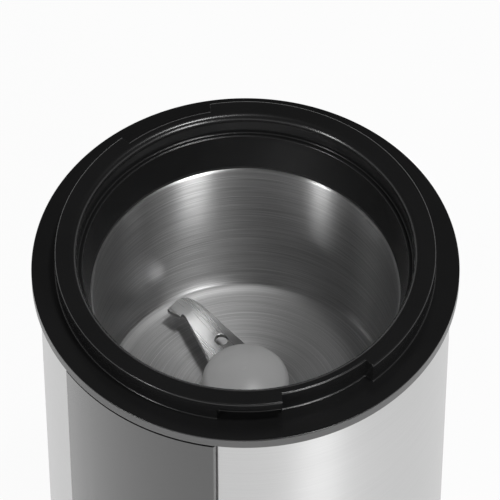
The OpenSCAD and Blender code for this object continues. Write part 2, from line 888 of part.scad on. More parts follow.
// Lower bracket, which also carries the two brush holders.
module motor_lower_bracket() {
    pad_w = brush_w + 2 * (holder_gap + holder_wall) + 1.6;
    pad_top_z = brush_z - brush_w / 2 - holder_gap - holder_wall;
    color("lightgray")
        bracket(lower_z + seat_h, lower_top_z - seat_h, lower_z, stack_z,
            lower_bearing_z, lower_top_z, lower_bearing_z)
            for (side = [-1, 1])
                translate([-pad_w / 2, side > 0 ? holder_in : -holder_out, lower_z + 2 * seat_h])
                    cube([pad_w, holder_out - holder_in, pad_top_z - lower_z - 2 * seat_h]);
}

// Laminated stator: yoke, two necks along X and their pole shoes.
module stator_core() {
    color("#6b6f75")
        translate([0, 0, stack_z])
            linear_extrude(height = stack_h)
                difference() {
                    frame_outline();
                    difference() {
                        intersection() {
                            square([core_w - 2 * yoke_t, core_d - 2 * yoke_t], center = true);
                            circle(r = window_r);
                        }
                        difference() {
                            union() {
                                square([core_w, neck_w], center = true);
                                pole_shoes();
                            }
                            circle(r = bore_r);
                        }
                    }
                    at_bolts() circle(r = bolt_r);
                }
}

// Outline of the two pole shoes, before the armature's bore is cut.
module pole_shoes() {
    reach = core_w;
    rise = reach * tan(shoe_half_angle);
    intersection() {
        circle(r = bore_r + shoe_t);
        union() {
            polygon([[0, 0], [reach, rise], [reach, -rise]]);
            polygon([[0, 0], [-reach, -rise], [-reach, rise]]);
        }
    }
}

// Two enamelled coils, wound round the stator's necks.
module field_coils() {
    inner_x = bore_r + shoe_t + 0.4;
    outer_x = core_w / 2 - yoke_t - 0.2;
    half_w = neck_w / 2 + coil_gap;
    coil_h = stack_h + 2 * (coil_gap + coil_t);
    color("#b5642a")
        for (side = [0, 180])
            rotate([0, 0, side])
                translate([inner_x, 0, stack_z + stack_h / 2])
                    rotate([90, 0, 90])
                        linear_extrude(height = outer_x - inner_x)
                            difference() {
                                rounded_rect(2 * (half_w + coil_t), coil_h, coil_t);
                                square([2 * half_w, stack_h + 2 * coil_gap], center = true);
                            }
}

// Rectangle with round corners, centred.
module rounded_rect(w, h, r) {
    square([w - 2 * r, h], center = true);
    square([w, h - 2 * r], center = true);
    for (x = [-w / 2 + r, w / 2 - r])
        for (y = [-h / 2 + r, h / 2 - r])
            translate([x, y]) circle(r = r);
}

// Four long bolts through the brackets, the stack and the mounts, into the web.
module motor_bolts() {
    color("dimgray")
        at_bolts() {
            bar(bolt_r, lower_z - bolt_head_h / 2, web_top_z + bolt_boss_h - 2);
            difference() {
                bar(bolt_head_r, lower_z - bolt_head_h, lower_z);
                translate([0, 0, lower_z - bolt_head_h - over]) cylinder(r = 1.7, h = 1.5 + over, $fn = 6);
            }
        }
}

// Four rubber rings that keep the motor's hum out of the frame.
module motor_mounts() {
    color("#202020")
        at_bolts() tube(post_r + 0.5, bolt_r, bracket_top_z, web_z);
}

// Sintered bush in the upper bracket.
module upper_bearing() {
    color("#b08d57") tube(bearing_r, shaft_r + run_gap, upper_bearing_z, upper_bearing_z + bearing_len);
}

// Sintered bush in the lower bracket.
module lower_bearing() {
    color("#b08d57") tube(bearing_r, shaft_r + run_gap, lower_bearing_z, lower_bearing_z + bearing_len);
}

// Children on both brush sides, with their Z running outwards along Y.
module at_brushes() {
    for (turn = [0, 180]) rotate([0, 0, turn]) facing_back(0, 0, brush_z) children();
}

// A square bar on Z, from one distance to another.
module square_bar(w, z0, z1) {
    translate([-w / 2, -w / 2, z0]) cube([w, w, z1 - z0]);
}

// Two brass tubes that guide the brushes.
module brush_holders() {
    inner = brush_w + 2 * holder_gap;
    color("#c9a24b")
        at_brushes()
            difference() {
                square_bar(inner + 2 * holder_wall, holder_in, holder_out);
                square_bar(inner, holder_in - over, holder_out + over);
            }
}

// Two carbon brushes, hollowed to the commutator's round.
module carbon_brushes() {
    color("#2b2b2b")
        difference() {
            at_brushes() square_bar(brush_w, comm_r - 1, brush_back);
            bar(comm_r + brush_touch, commutator_z - over, commutator_z + commutator_h + over);
        }
}

// Two coil springs that press the brushes inwards.
module brush_springs() {
    color("silver")
        at_brushes()
            translate([0, 0, brush_back])
                coil_spring(brush_spring_r, 0.3, holder_out - cap_depth - brush_back, 5);
}

// Two caps that close the brush holders.
module brush_caps() {
    inner = brush_w + 2 * holder_gap;
    color("#2a2a2c")
        at_brushes() {
            square_bar(inner, holder_out - cap_depth, holder_out + over);
            square_bar(inner + 2 * holder_wall, holder_out, holder_out + 1.2);
        }
}

// ---- Rotor ----

// Steel shaft from the fan to the blade, stepped down for the blade nut.
module motor_shaft() {
    color("silver") {
        bar(shaft_r, fan_z - 0.5, blade_under_z);
        bar(thread_r, blade_under_z - over, blade_z + thread_len);
    }
}

// Outline of one armature slot, with its bulb scaled by a gap.
module slot_outline(gap) {
    bulb_r = rotor_r * 0.12;
    place = rotor_r - bulb_r - 1.6;
    circle_part = bulb_r - gap;
    translate([place, 0]) circle(r = circle_part);
    translate([place, -0.6 + gap]) square([rotor_r - place + over, 1.2 - 2 * gap]);
}

// Laminated armature with closed-in slots.
module armature_core() {
    color("#6b6f75")
        translate([0, 0, stack_z])
            linear_extrude(height = stack_h)
                difference() {
                    circle(r = rotor_r);
                    circle(r = shaft_r);
                    for (i = [0 : slot_count - 1]) rotate(i * 360 / slot_count) slot_outline(0);
                }
}

// Armature windings: the wires in the slots and the two end turns.
module armature_windings() {
    turn_r = rotor_r - 1.8;
    inner_r = shaft_r + 2;
    bevel = 1;
    color("#b5642a") {
        translate([0, 0, stack_z - 1])
            linear_extrude(height = stack_h + 2)
                intersection() {
                    circle(r = rotor_r - 0.4);
                    for (i = [0 : slot_count - 1]) rotate(i * 360 / slot_count) slot_outline(0.1);
                }
        for (flip = [0, 1])
            translate([0, 0, flip * (stack_z + stack_top_z)])
                mirror([0, 0, flip])
                    rotate_extrude()
                        polygon([
                            [inner_r, stack_z],
                            [turn_r, stack_z],
                            [turn_r, stack_z - winding_h + bevel],
                            [turn_r - bevel, stack_z - winding_h],
                            [inner_r + bevel, stack_z - winding_h],
                            [inner_r, stack_z - winding_h + bevel]
                        ]);
    }
}

// Copper commutator with a slit for each slot.
module commutator() {
    slit_w = 0.5;
    slit_d = 1.2;
    color("#b87333")
        translate([0, 0, commutator_z])
            linear_extrude(height = commutator_h)
                difference() {
                    circle(r = comm_r);
                    circle(r = shaft_r);
                    for (i = [0 : slot_count - 1])
                        rotate((i + 0.5) * 360 / slot_count)
                            translate([comm_r - slit_d, -slit_w / 2]) square([slit_d + over, slit_w]);
                }
}

// Two thrust washers, one by each motor bearing.
module thrust_washers() {
    color("silver")
        for (z = [lower_top_z + clear_gap, upper_bearing_z - clear_gap - washer_t])
            tube(shaft_r + 2.4, shaft_r, z, z + washer_t);
}

// Radial fan: hub, back disc and curved vanes.
module cooling_fan() {
    disc_t = 1.4;
    hub_out = 8;
    vane_t = 1.2;
    vane_r = wheel_r * 0.62;
    color("#d8d8d0") {
        tube(hub_out, shaft_r, fan_z, fan_top_z);
        tube(wheel_r, hub_out - over, fan_top_z - disc_t, fan_top_z);
        translate([0, 0, fan_z])
            linear_extrude(height = fan_h - disc_t + over)
                intersection() {
                    difference() {
                        circle(r = wheel_r);
                        circle(r = hub_out - over);
                    }
                    for (i = [0 : fan_vanes - 1])
                        rotate(i * 360 / fan_vanes)
                            translate([vane_r, 0])
                                intersection() {
                                    difference() {
                                        circle(r = vane_r);
                                        circle(r = vane_r - vane_t);
                                    }
                                    translate([-vane_r, 0]) square([2 * vane_r, vane_r]);
                                }
                }
    }
}

// Sleeve that sets the blade's height over the hub.
module blade_spacer() {
    color("silver") tube(spacer_r, shaft_r, bowl_floor_z + hub_flange_t + clear_gap, blade_under_z);
}

// Outline of one arm, along +X.
module arm_outline() {
    polygon([
        [0, trail_root],
        [arm_len - 0.5, -trail_tip],
        [arm_len, -trail_tip - 0.2],
        [arm_len + 0.6, -lead_tip],
        [0, -lead_root]
    ]);
}

// Outline of a bent tip, from the bend line along +X, with one round and one tight outer corner.
module tip_outline() {
    tight = 0.6;
    hook = 1;
    translate([hook, -0.7]) square([tip_len - hook - tip_round, tip_w]);
    translate([-0.3, -0.7]) square([tip_len - tip_round, tip_w - hook]);
    translate([0, -0.7 + tip_round]) square([tip_len, tip_w - tip_round - tight]);
    translate([hook, -0.7 + tip_round]) square([tip_len - hook - tight, tip_w - tip_round]);
    translate([tip_len - tip_round, -0.7 + tip_round]) circle(r = tip_round);
    translate([tip_len - tight, -0.7 + tip_w - tight]) circle(r = tight);
}

// One cambered arm with its hole and its tip, bent up by the given angle.
module blade_arm(bend) {
    middle = (trail_root - lead_root) / 2;
    difference() {
        union() {
            intersection() {
                translate([0, 0, -camber_r]) linear_extrude(height = camber_r + over) arm_outline();
                translate([0, middle - 1, -camber_r])
                    rotate([0, 90, 0])
                        difference() {
                            cylinder(r = camber_r, h = arm_len + 1);
                            translate([0, 0, -over]) cylinder(r = camber_r - blade_t, h = arm_len + 2);
                        }
            }
            translate([arm_len + 0.6, -lead_tip + 0.7, -0.15])
                rotate([0, 0, tip_skew])
                    rotate([0, -bend, 0])
                        translate([0, 0, -blade_t]) linear_extrude(height = blade_t) tip_outline();
        }
        translate([arm_hole_x, arm_hole_y, -4]) cylinder(r = arm_hole_r, h = 6);
        translate([0, 0, -4 - blade_t]) cylinder(r = blade_disc_r, h = 4);
    }
}

// Two-armed steel blade: one tip is bent down and the other up.
module blade() {
    color("silver")
        rotate([0, 0, blade_turn])
            translate([0, 0, blade_z])
                difference() {
                    union() {
                        blade_arm(-tip_bend);
                        rotate([0, 0, 180]) blade_arm(tip_bend);
                        translate([0, 0, -blade_t]) cylinder(r = blade_disc_r, h = blade_t);
                    }
                    translate([0, 0, -blade_t - 2]) cylinder(r = thread_r, h = blade_t + 4);
                }
}

// Nut that clamps the blade on the shaft.
module blade_nut() {
    color("silver")
        difference() {
            translate([0, 0, blade_z])
                intersection() {
                    cylinder(r = nut_flats_r / cos(30), h = nut_h, $fn = 6);
                    cylinder(r = nut_flats_r + 0.4, h = nut_h);
                }
            bar(thread_r, blade_z - over, blade_z + nut_h + over);
        }
}

// Outline of the dome: a shoulder arc that runs smoothly into a flatter crown arc.
module dome_outline() {
    run = hub_r - hub_shoulder;
    crown_r = (run * run + pow(hub_dome_h, 2) - pow(hub_shoulder, 2)) / (2 * (hub_dome_h - hub_shoulder));
    join_x = run + hub_shoulder * run / (crown_r - hub_shoulder);
    intersection() {
        translate([0, hub_dome_h - crown_r]) circle(r = crown_r, $fn = 360);
        square([join_x, hub_dome_h + over]);
    }
    intersection() {
        translate([run, 0]) circle(r = hub_shoulder);
        translate([0, 0]) square([hub_r + over, hub_shoulder + over]);
    }
}

// Domed cap over the blade nut.
module hub_cap() {
    cavity_r = nut_flats_r / cos(30) + 0.4;
    dome_z = blade_z + hub_skirt;
    color("#9a9a9a")
        difference() {
            union() {
                translate([0, 0, dome_z]) rotate_extrude() dome_outline();
                bar(hub_r, blade_z, dome_z);
            }
            bar(cavity_r, blade_z - over, blade_z + thread_len + 0.4);
        }
}

// ---- Pulse button ----

// Button with a face that follows the panel's round, a stop flange and a stem.
module pulse_button() {
    dish_r = 60;
    dish_depth = 0.7;
    face_r = panel_r + button_proud;
    color("#2a2a2c") {
        difference() {
            intersection() {
                facing_back(0, -face_r - over, button_z)
                    cylinder(r = button_r, h = face_r + over + button_flange_y + button_flange_t / 2);
                bar(face_r, 0, body_h);
            }
            translate([0, -face_r - dish_r + dish_depth, button_z]) sphere(r = dish_r);
        }
        facing_back(0, button_flange_y, button_z)
            cylinder(r = guide_r + guide_wall / 2, h = button_flange_t);
        facing_back(0, button_flange_y, button_z) cylinder(r = stem_r, h = stem_end_y - button_flange_y);
    }
}

// Return spring between the button's flange and the switch carrier.
module button_spring() {
    start_y = button_flange_y + button_flange_t;
    color("silver")
        facing_back(0, start_y, button_z) coil_spring(stem_r + 2.6, 0.4, carrier_y - start_y, 3);
}

// Plate behind the panel that holds the pulse switch and the spring's fixed end.
module switch_carrier() {
    arm_t = 1.6;
    arm_half_h = 5;
    back_y = carrier_y + carrier_t;
    color("#3a3a3c")
        difference() {
            union() {
                translate([-carrier_half_w, carrier_y, button_z - carrier_half_h])
                    cube([2 * carrier_half_w, carrier_t, 2 * carrier_half_h]);
                for (x = [-switch_w / 2 - arm_t, switch_w / 2])
                    translate([x, back_y - over, button_z - arm_half_h])
                        cube([arm_t, switch_d + over, 2 * arm_half_h]);
            }
            facing_back(0, carrier_y - over, button_z) cylinder(r = stem_r + 0.5, h = carrier_t + 2 * over);
            for (side = [-1, 1])
                facing_back(side * carrier_boss_x, carrier_y - over, button_z)
                    cylinder(r = carrier_screw_r + hole_gap, h = carrier_t + 2 * over);
        }
}

// Two screws that hold the switch carrier to the panel's bosses.
module carrier_screws() {
    head_h = 1.4;
    back_y = carrier_y + carrier_t;
    color("dimgray")
        for (side = [-1, 1]) {
            facing_back(side * carrier_boss_x, carrier_y - carrier_screw_bite, button_z)
                cylinder(r = carrier_screw_r, h = carrier_t + carrier_screw_bite + head_h / 2);
            facing_back(side * carrier_boss_x, back_y, button_z)
                difference() {
                    cylinder(r = 2.3, h = head_h);
                    translate([0, 0, head_h - 0.7]) cross_recess(over, 0.7, 1.7);
                }
        }
}

// Snap switch that the button's stem works.
module pulse_switch() {
    back_y = carrier_y + carrier_t;
    color("#202024") {
        translate([-switch_w / 2, back_y, button_z - switch_h / 2]) cube([switch_w, switch_d, switch_h]);
        facing_back(0, switch_touch_y, button_z) cylinder(r = 1.2, h = back_y - switch_touch_y + over);
        for (x = [-8, 0, 8])
            translate([x - 1.2, back_y + switch_d - over, button_z - 0.4])
                cube([2.4, switch_pin_len + over, 0.8]);
    }
}

// ---- Lid interlock ----

// Pin at the closed end of the rear slot, which a turned lid tab pushes down to the flange.
module interlock_pin() {
    color("#2a2a2c")
        at_pin() {
            bar(pin_r, pin_end_z, pin_top_z - pin_r / 2);
            intersection() {
                bar(pin_r, pin_top_z - pin_r, pin_top_z);
                translate([0, 0, pin_top_z - 1.25 * pin_r]) sphere(r = 1.25 * pin_r, $fn = 48);
            }
            bar(pin_flange_r, pin_flange_z, pin_flange_z + pin_flange_t);
        }
}

// Return spring between the pin's flange and the frame's ring.
module interlock_spring() {
    color("silver")
        at_pin()
            translate([0, 0, frame_top_z]) coil_spring(pin_r + 0.55, 0.3, pin_flange_z - frame_top_z, 4);
}

// Snap switch in the frame's cradle, under the pin.
module interlock_switch() {
    plunger_h = 0.6;
    top_z = lock_switch_z - plunger_h;
    color("#202024")
        at_pin() {
            translate([-lock_switch_d / 2, -lock_switch_w / 2, lock_switch_z - lock_switch_h])
                cube([lock_switch_d, lock_switch_w, lock_switch_h - plunger_h]);
            bar(0.8, top_z - over, lock_switch_z);
        }
}

// ---- Electrics and cord inlet ----

// Circuit board on the plate's standoffs.
module control_board() {
    color("darkgreen")
        difference() {
            translate([-board_w / 2, board_y - board_d / 2, board_z]) cube([board_w, board_d, board_t]);
            board_corners() bar(1.2, board_z - over, board_top_z + over);
        }
}

// Mains filter capacitor on the board, clear of the fan.
module filter_capacitor() {
    can_w = 17;
    can_d = 7;
    can_h = 12;
    edge_x = 1;
    color("#c8b23a")
        translate([edge_x - can_w, wheel_r + 1.5, board_top_z]) cube([can_w, can_d, can_h]);
}

// Screw terminal block on the board, for the mains leads.
module terminal_block() {
    block_w = 14;
    block_d = 8;
    block_h = 7.6;
    color("#d9d9d2")
        translate([3.5, wheel_r + 0.8, board_top_z])
            difference() {
                cube([block_w, block_d, block_h]);
                for (x = [block_w / 4, block_w * 3 / 4]) {
                    translate([x, block_d / 2, block_h - 3]) cylinder(r = 2, h = 3 + over);
                    translate([x, block_d - 4, 2.4]) rotate([-90, 0, 0]) cylinder(r = 1.6, h = 4 + over);
                }
            }
}

// Rubber gland in the base ring's recess: two flanges, a neck and the cord's bore.
module cord_gland() {
    recess_y = collar_r - recess_d;
    inner_y = sqrt(pow(base_in, 2) - pow(gland_flange_r, 2));
    inner_t = 1.6;
    color("#151515")
        difference() {
            union() {
                facing_back(0, recess_y, gland_z) cylinder(r = gland_flange_r, h = gland_flange_t);
                facing_back(0, inner_y - inner_t, gland_z)
                    cylinder(r = gland_neck_r, h = recess_y - inner_y + inner_t + over);
                facing_back(0, inner_y - inner_t, gland_z) cylinder(r = gland_flange_r, h = inner_t);
            }
            facing_back(0, inner_y - inner_t - over, gland_z)
                cylinder(r = cord_r, h = collar_r - inner_y + inner_t + 2 * over);
        }
}

housing_sleeve();
front_panel();
trim_ring();
top_collar();
grinding_bowl();
bowl_seal();
inner_frame();
base_ring();
base_plate();
rubber_feet();
base_screws();
collar_screws();
bearing_hub();
hub_nut();
hub_bush();
shaft_seal();
motor_upper_bracket();
motor_lower_bracket();
stator_core();
field_coils();
motor_bolts();
motor_mounts();
upper_bearing();
lower_bearing();
brush_holders();
carbon_brushes();
brush_springs();
brush_caps();
motor_shaft();
armature_core();
armature_windings();
commutator();
thrust_washers();
cooling_fan();
blade_spacer();
blade();
blade_nut();
hub_cap();
pulse_button();
button_spring();
switch_carrier();
carrier_screws();
pulse_switch();
interlock_pin();
interlock_spring();
interlock_switch();
control_board();
filter_capacitor();
terminal_block();
cord_gland();
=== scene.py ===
# Finer surfaces, finishes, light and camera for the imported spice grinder. Sizes are millimetres in
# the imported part's own frame (origin on the table, front towards -Y); meshes are written in metres.
import logging
import math
from dataclasses import dataclass, field
from enum import Enum
from typing import Optional, Sequence

import bpy
import numpy as np
from mathutils import Matrix, Vector


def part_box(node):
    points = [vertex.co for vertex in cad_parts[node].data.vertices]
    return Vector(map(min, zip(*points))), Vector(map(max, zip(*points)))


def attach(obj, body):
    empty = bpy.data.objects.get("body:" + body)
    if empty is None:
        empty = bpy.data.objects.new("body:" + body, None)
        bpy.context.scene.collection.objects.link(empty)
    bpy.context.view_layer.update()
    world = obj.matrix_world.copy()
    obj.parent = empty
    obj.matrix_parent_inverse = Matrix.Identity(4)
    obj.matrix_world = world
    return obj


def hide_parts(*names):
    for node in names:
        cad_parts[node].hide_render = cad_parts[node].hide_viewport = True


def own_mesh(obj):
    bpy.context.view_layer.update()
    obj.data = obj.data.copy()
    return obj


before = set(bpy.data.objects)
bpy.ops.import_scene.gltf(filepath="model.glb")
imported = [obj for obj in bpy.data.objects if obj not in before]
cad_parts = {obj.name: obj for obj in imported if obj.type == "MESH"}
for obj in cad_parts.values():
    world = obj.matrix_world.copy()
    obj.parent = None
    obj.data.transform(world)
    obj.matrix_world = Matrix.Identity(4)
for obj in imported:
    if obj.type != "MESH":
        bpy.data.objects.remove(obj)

MM = 0.001
UV_NAME = "surface"
UV_PER_MM = 0.01
EDGE_SHARE = 0.57  # most that one rounding may take of an edge beside it
FLAT_PLACE = 1.2  # place of the point on the flat beside a rounding, in sizes of that rounding
LOG = logging.getLogger("grinder")


# ---- Surfaces ---------------------------------------------------------------------------------


def smoothstep(x: np.ndarray) -> np.ndarray:
    """Rises from 0 to 1 as x does, level at both ends: x * x * (3 - 2x)."""
    x = np.clip(x, 0.0, 1.0)
    return x * x * (3.0 - 2.0 * x)


def window(angle: np.ndarray, start: float, end: float, ease: float) -> np.ndarray:
    """One inside a span of angles and nought outside, repeated every half turn.

    Each edge is a smoothstep of the given width, centred on the edge.

    Args:
        angle: Angles in degrees.
        start: Where the span starts, in degrees.
        end: Where it ends.
        ease: Width of each edge, in degrees.

    Returns:
        An array like angle, from 0 to 1.
    """
    middle, half = (start + end) / 2, (end - start) / 2
    away = np.abs((angle - middle + 90.0) % 180.0 - 90.0)
    return smoothstep((half - away) / ease + 0.5)


def eased(points: np.ndarray, eases: np.ndarray, steps: int = 6, closed: bool = True) -> np.ndarray:
    """Rounds the corners of a profile, or of a whole family of profiles at once.

    At a corner c with unit directions u to the point before and v to the point after, the curve is
    c + d((1 - sin t)u + (1 - cos t)v) for t from 0 to a right angle: a quarter circle of radius d on a
    square corner. One more point stands on each edge just outside the curve, so that the flat beside
    it shades flat.

    Args:
        points: Corners, of shape (..., n, 2).
        eases: Size d of each corner's rounding, of shape (n,).
        steps: Points on each curve.
        closed: Whether the last point joins the first. If not, both ends stay sharp.

    Returns:
        Points of shape (..., m, 2).
    """
    back = np.roll(points, 1, axis=-2) - points
    ahead = np.roll(points, -1, axis=-2) - points
    back_len = np.linalg.norm(back, axis=-1)
    ahead_len = np.linalg.norm(ahead, axis=-1)
    size = np.minimum(eases, EDGE_SHARE * np.minimum(back_len, ahead_len))
    u = back / back_len[..., None]
    v = ahead / ahead_len[..., None]
    t = np.linspace(0.0, math.pi / 2, steps)
    along_u = np.concatenate([[FLAT_PLACE], 1.0 - np.sin(t), [0.0]])
    along_v = np.concatenate([[0.0], 1.0 - np.cos(t), [FLAT_PLACE]])
    curve = (along_u[:, None] * u[..., None, :] + along_v[:, None] * v[..., None, :])
    curve = points[..., None, :] + size[..., None, None] * curve
    if not closed:
        inner = curve[..., 1:-1, :, :]
        flat = inner.reshape(*inner.shape[:-3], -1, 2)
        return np.concatenate([points[..., :1, :], flat, points[..., -1:, :]], axis=-2)
    return curve.reshape(*curve.shape[:-3], -1, 2)


def revolved(profile: np.ndarray, angles: np.ndarray) -> np.ndarray:
    """Carries profiles round Z: (r, z) at an angle a goes to (r cos a, r sin a, z).

    Args:
        profile: One profile (n, 2), or one for each angle (a, n, 2).
        angles: Angles in degrees.

    Returns:
        Points of shape (a, n, 3).
    """
    a = np.radians(angles)[:, None]
    r = np.broadcast_to(profile[..., 0], (len(angles), profile.shape[-2]))
    z = np.broadcast_to(profile[..., 1], r.shape)
    return np.stack([r * np.cos(a), r * np.sin(a), z], axis=-1)


def resampled(points: np.ndarray, step: float) -> np.ndarray:
    """Adds points along a closed line, so that none is further than a step from the next.

    Args:
        points: The line's points, of shape (n, 2).
        step: Longest distance between two points.

    Returns:
        The old points and the new ones, in their order along the line.
    """
    ring = np.concatenate([points, points[:1]])
    walk = np.concatenate([[0.0], np.cumsum(np.linalg.norm(np.diff(ring, axis=0), axis=-1))])
    at = np.unique(np.concatenate([walk[:-1], np.arange(0.0, walk[-1], step)]))
    return np.stack([np.interp(at, walk, ring[:, k]) for k in range(2)], axis=-1)


@dataclass
class Skin:
    """A surface given as a grid of points, with its seams joined and its ends closed.

    Attributes:
        grid: Points of shape (u, v, 3), in millimetres.
        wrap_u: Whether the last row joins the first.
        wrap_v: Whether the last column joins the first.
        cap_u: Whether a fan closes the first and the last row.
        cap_v: Whether a fan closes the first and the last column.
        places: Texture place of each point, of shape (u, v, 2), instead of the way round and across.
    """

    grid: np.ndarray
    wrap_u: bool = True
    wrap_v: bool = True
    cap_u: bool = False
    cap_v: bool = False
    places: Optional[np.ndarray] = None

    def _quads(self) -> tuple[np.ndarray, np.ndarray]:
        """Quads by their vertices, and the texture place of every quad's corners."""
        nu, nv = self.grid.shape[:2]
        rows = nu if self.wrap_u else nu - 1
        cols = nv if self.wrap_v else nv - 1
        i, j = np.meshgrid(np.arange(rows), np.arange(cols), indexing="ij")
        near, far = (j % nv), ((j + 1) % nv)
        this, after = (i % nu) * nv, ((i + 1) % nu) * nv
        quads = np.stack([this + near, after + near, after + far, this + far], axis=-1).reshape(-1, 4)
        walk = np.linalg.norm(np.diff(self.grid, axis=1, append=self.grid[:, :1]), axis=-1).mean(axis=0)
        reach = np.concatenate([[0.0], np.cumsum(walk)]) * UV_PER_MM
        corners = [(i, j), (i + 1, j), (i + 1, j + 1), (i, j + 1)]
        if self.places is None:
            uv = np.stack([np.stack([a / rows, reach[b]], axis=-1) for a, b in corners], axis=2)
        else:
            uv = np.stack([self.places[a % nu, b % nv] for a, b in corners], axis=2)
        return quads, uv.reshape(-1, 4, 2)

    def _fans(self) -> tuple[np.ndarray, np.ndarray]:
        """Triangles that close the open ends, and the middle points that they meet in."""
        nu, nv = self.grid.shape[:2]
        index = np.arange(nu * nv).reshape(nu, nv)
        fans, middles, ends = [], [], []
        if self.cap_u:
            ends += [(index[0], False), (index[-1], True)]
        if self.cap_v:
            ends += [(index[:, 0], True), (index[:, -1], False)]
        flat = self.grid.reshape(-1, 3)
        for ring, turned in ends:
            after = np.roll(ring, -1)
            middle = np.full_like(ring, nu * nv + len(middles))
            first, second = (after, ring) if turned else (ring, after)
            fans.append(np.stack([first, second, middle], axis=-1))
            middles.append(flat[ring].mean(axis=0))
        if not fans:
            return np.zeros((0, 3), int), np.zeros((0, 3))
        return np.concatenate(fans), np.array(middles)

    def mesh(self, name: str) -> bpy.types.Mesh:
        """Writes the surface as a mesh that faces outward.

        Args:
            name: Name of the mesh.

        Returns:
            The mesh, in metres, with its texture places in the layer UV_NAME.
        """
        quads, uv = self._quads()
        fans, middles = self._fans()
        points = np.concatenate([self.grid.reshape(-1, 3), middles]) * MM
        a, b, c, d = (points[quads[:, k]] for k in range(4))
        volume = np.einsum("ij,ij->", a, np.cross(b, c)) + np.einsum("ij,ij->", a, np.cross(c, d))
        if len(fans):
            e, f, g = (points[fans[:, k]] for k in range(3))
            volume += np.einsum("ij,ij->", e, np.cross(f, g))
        if volume < 0:
            quads, uv, fans = quads[:, ::-1], uv[:, ::-1], fans[:, ::-1]
        made = bpy.data.meshes.new(name)
        made.from_pydata(points.tolist(), [], quads.tolist() + fans.tolist())
        layer = made.uv_layers.new(name=UV_NAME)
        fan_uv = np.tile(uv[:1, :1].reshape(1, 2), (fans.size, 1))
        corners = np.concatenate([uv.reshape(-1, 2), fan_uv]).astype(np.float32)
        layer.data.foreach_set("uv", corners.ravel())
        made.polygons.foreach_set("use_smooth", np.ones(len(made.polygons), bool))
        made.update()
        return made


def joined(name: str, skins: Sequence[Skin]) -> bpy.types.Object:
    """Makes one object of several closed surfaces.

    Args:
        name: Name of the object.
        skins: Its surfaces.

    Returns:
        The object, at the origin and linked to the scene.
    """
    meshes = [skin.mesh(name) for skin in skins]
    made = bpy.data.objects.new(name, meshes[0])
    bpy.context.scene.collection.objects.link(made)
    if len(meshes) > 1:
        others = [bpy.data.objects.new(name + ".part", m) for m in meshes[1:]]
        for other in others:
            bpy.context.scene.collection.objects.link(other)
        with bpy.context.temp_override(active_object=made, selected_editable_objects=[made, *others]):
            bpy.ops.object.join()
    return made


# ---- Finishes ---------------------------------------------------------------------------------


Colour = tuple[float, float, float]
Socket = bpy.types.NodeSocket


class Grooves(Enum):
    """Which way a brushed surface's grooves run, as turns from its first direction."""

    ROUND = 0.25
    ACROSS = 0.0


class NodeTree:
    """The nodes of a material or of the world, made with few words."""

    def __init__(self, owner: bpy.types.ID, kind: str = "Material") -> None:
        """Clears the owner's nodes and adds an output.

        Args:
            owner: The material or the world.
            kind: Which of the two it is: Material or World.
        """
        owner.use_nodes = True
        self.owner = owner
        self.tree = owner.node_tree
        self.tree.nodes.clear()
        self.output = self.tree.nodes.new("ShaderNodeOutput" + kind)

    def add(self, kind: str, inputs: Optional[dict] = None, **settings: object) -> bpy.types.Node:
        """Adds a node.

        Args:
            kind: Its type, without the word ShaderNode.
            inputs: For each input socket, a constant or the output socket that feeds it.
            **settings: Its own properties.

        Returns:
            The node.
        """
        made = self.tree.nodes.new("ShaderNode" + kind)
        for key, value in settings.items():
            setattr(made, key, value)
        for key, value in (inputs or {}).items():
            if isinstance(value, Socket):
                self.tree.links.new(value, made.inputs[key])
            else:
                made.inputs[key].default_value = value
        return made

    def math(self, operation: str, a: object, b: object = 0.0) -> Socket:
        """Adds a Math node and returns its output."""
        return self.add("Math", {0: a, 1: b}, operation=operation).outputs[0]

    def ramp(self, value: Socket, stops: Sequence[tuple[float, Colour]]) -> Socket:
        """Turns a value into a colour, by two pairs of place and colour."""
        made = self.add("ValToRGB", {"Fac": value})
        for element, (place, colour) in zip(made.color_ramp.elements, stops):
            element.position = place
            element.color = (*colour, 1.0)
        return made.outputs["Color"]

    def mixed(self, share: Socket, first: Socket, second: Colour) -> Socket:
        """Mixes a colour into another by a share."""
        inputs = {"Fac": share, "Color1": first, "Color2": (*second, 1.0)}
        return self.add("MixRGB", inputs).outputs[0]

    def uneven(self, value: Socket, mean: float, share: float) -> Socket:
        """Spreads a value from 0..1 over a mean less and plus a share of it."""
        limits = {"To Min": mean * (1.0 - share), "To Max": mean * (1.0 + share)}
        return self.add("MapRange", {"Value": value, **limits}).outputs["Result"]

    def noise(self, place: Socket, scale: float, detail: float = 3.0) -> Socket:
        """Adds a noise and returns its value."""
        inputs = {"Vector": place, "Scale": scale, "Detail": detail}
        return self.add("TexNoise", inputs).outputs["Fac"]

    def object_place(self) -> Socket:
        """Place on the object, in metres."""
        return self.add("TexCoord").outputs["Object"]

    def shown(self) -> Socket:
        """One for what the camera, a reflection or glass sees, nought for light that falls."""
        path = self.add("LightPath").outputs
        seen = self.math("MAXIMUM", path["Is Camera Ray"], path["Is Glossy Ray"])
        return self.math("MAXIMUM", seen, path["Is Transmission Ray"])

    def principled(
        self, colour: Socket, rough: Socket, height: Socket, depth: float, levels: dict
    ) -> bpy.types.Material:
        """Joins a bumped shader to the output.

        Args:
            colour: Its colour.
            rough: Its roughness.
            height: What the bump reads.
            depth: Height of the bump, in millimetres.
            levels: Its other inputs by name.

        Returns:
            The material.
        """
        bump = self.add("Bump", {"Height": height, "Distance": depth * MM, "Strength": 1.0})
        inputs = {"Base Color": colour, "Roughness": rough, "Normal": bump.outputs["Normal"]}
        return self.finish(self.add("BsdfPrincipled", {**inputs, **levels}))

    def finish(self, shader: bpy.types.Node) -> bpy.types.ID:
        """Joins a shader to the output and returns the owner."""
        self.tree.links.new(shader.outputs[0], self.output.inputs["Surface"])
        return self.owner


def grey(level: float) -> Colour:
    """A colour without a hue."""
    return (level, level, level)


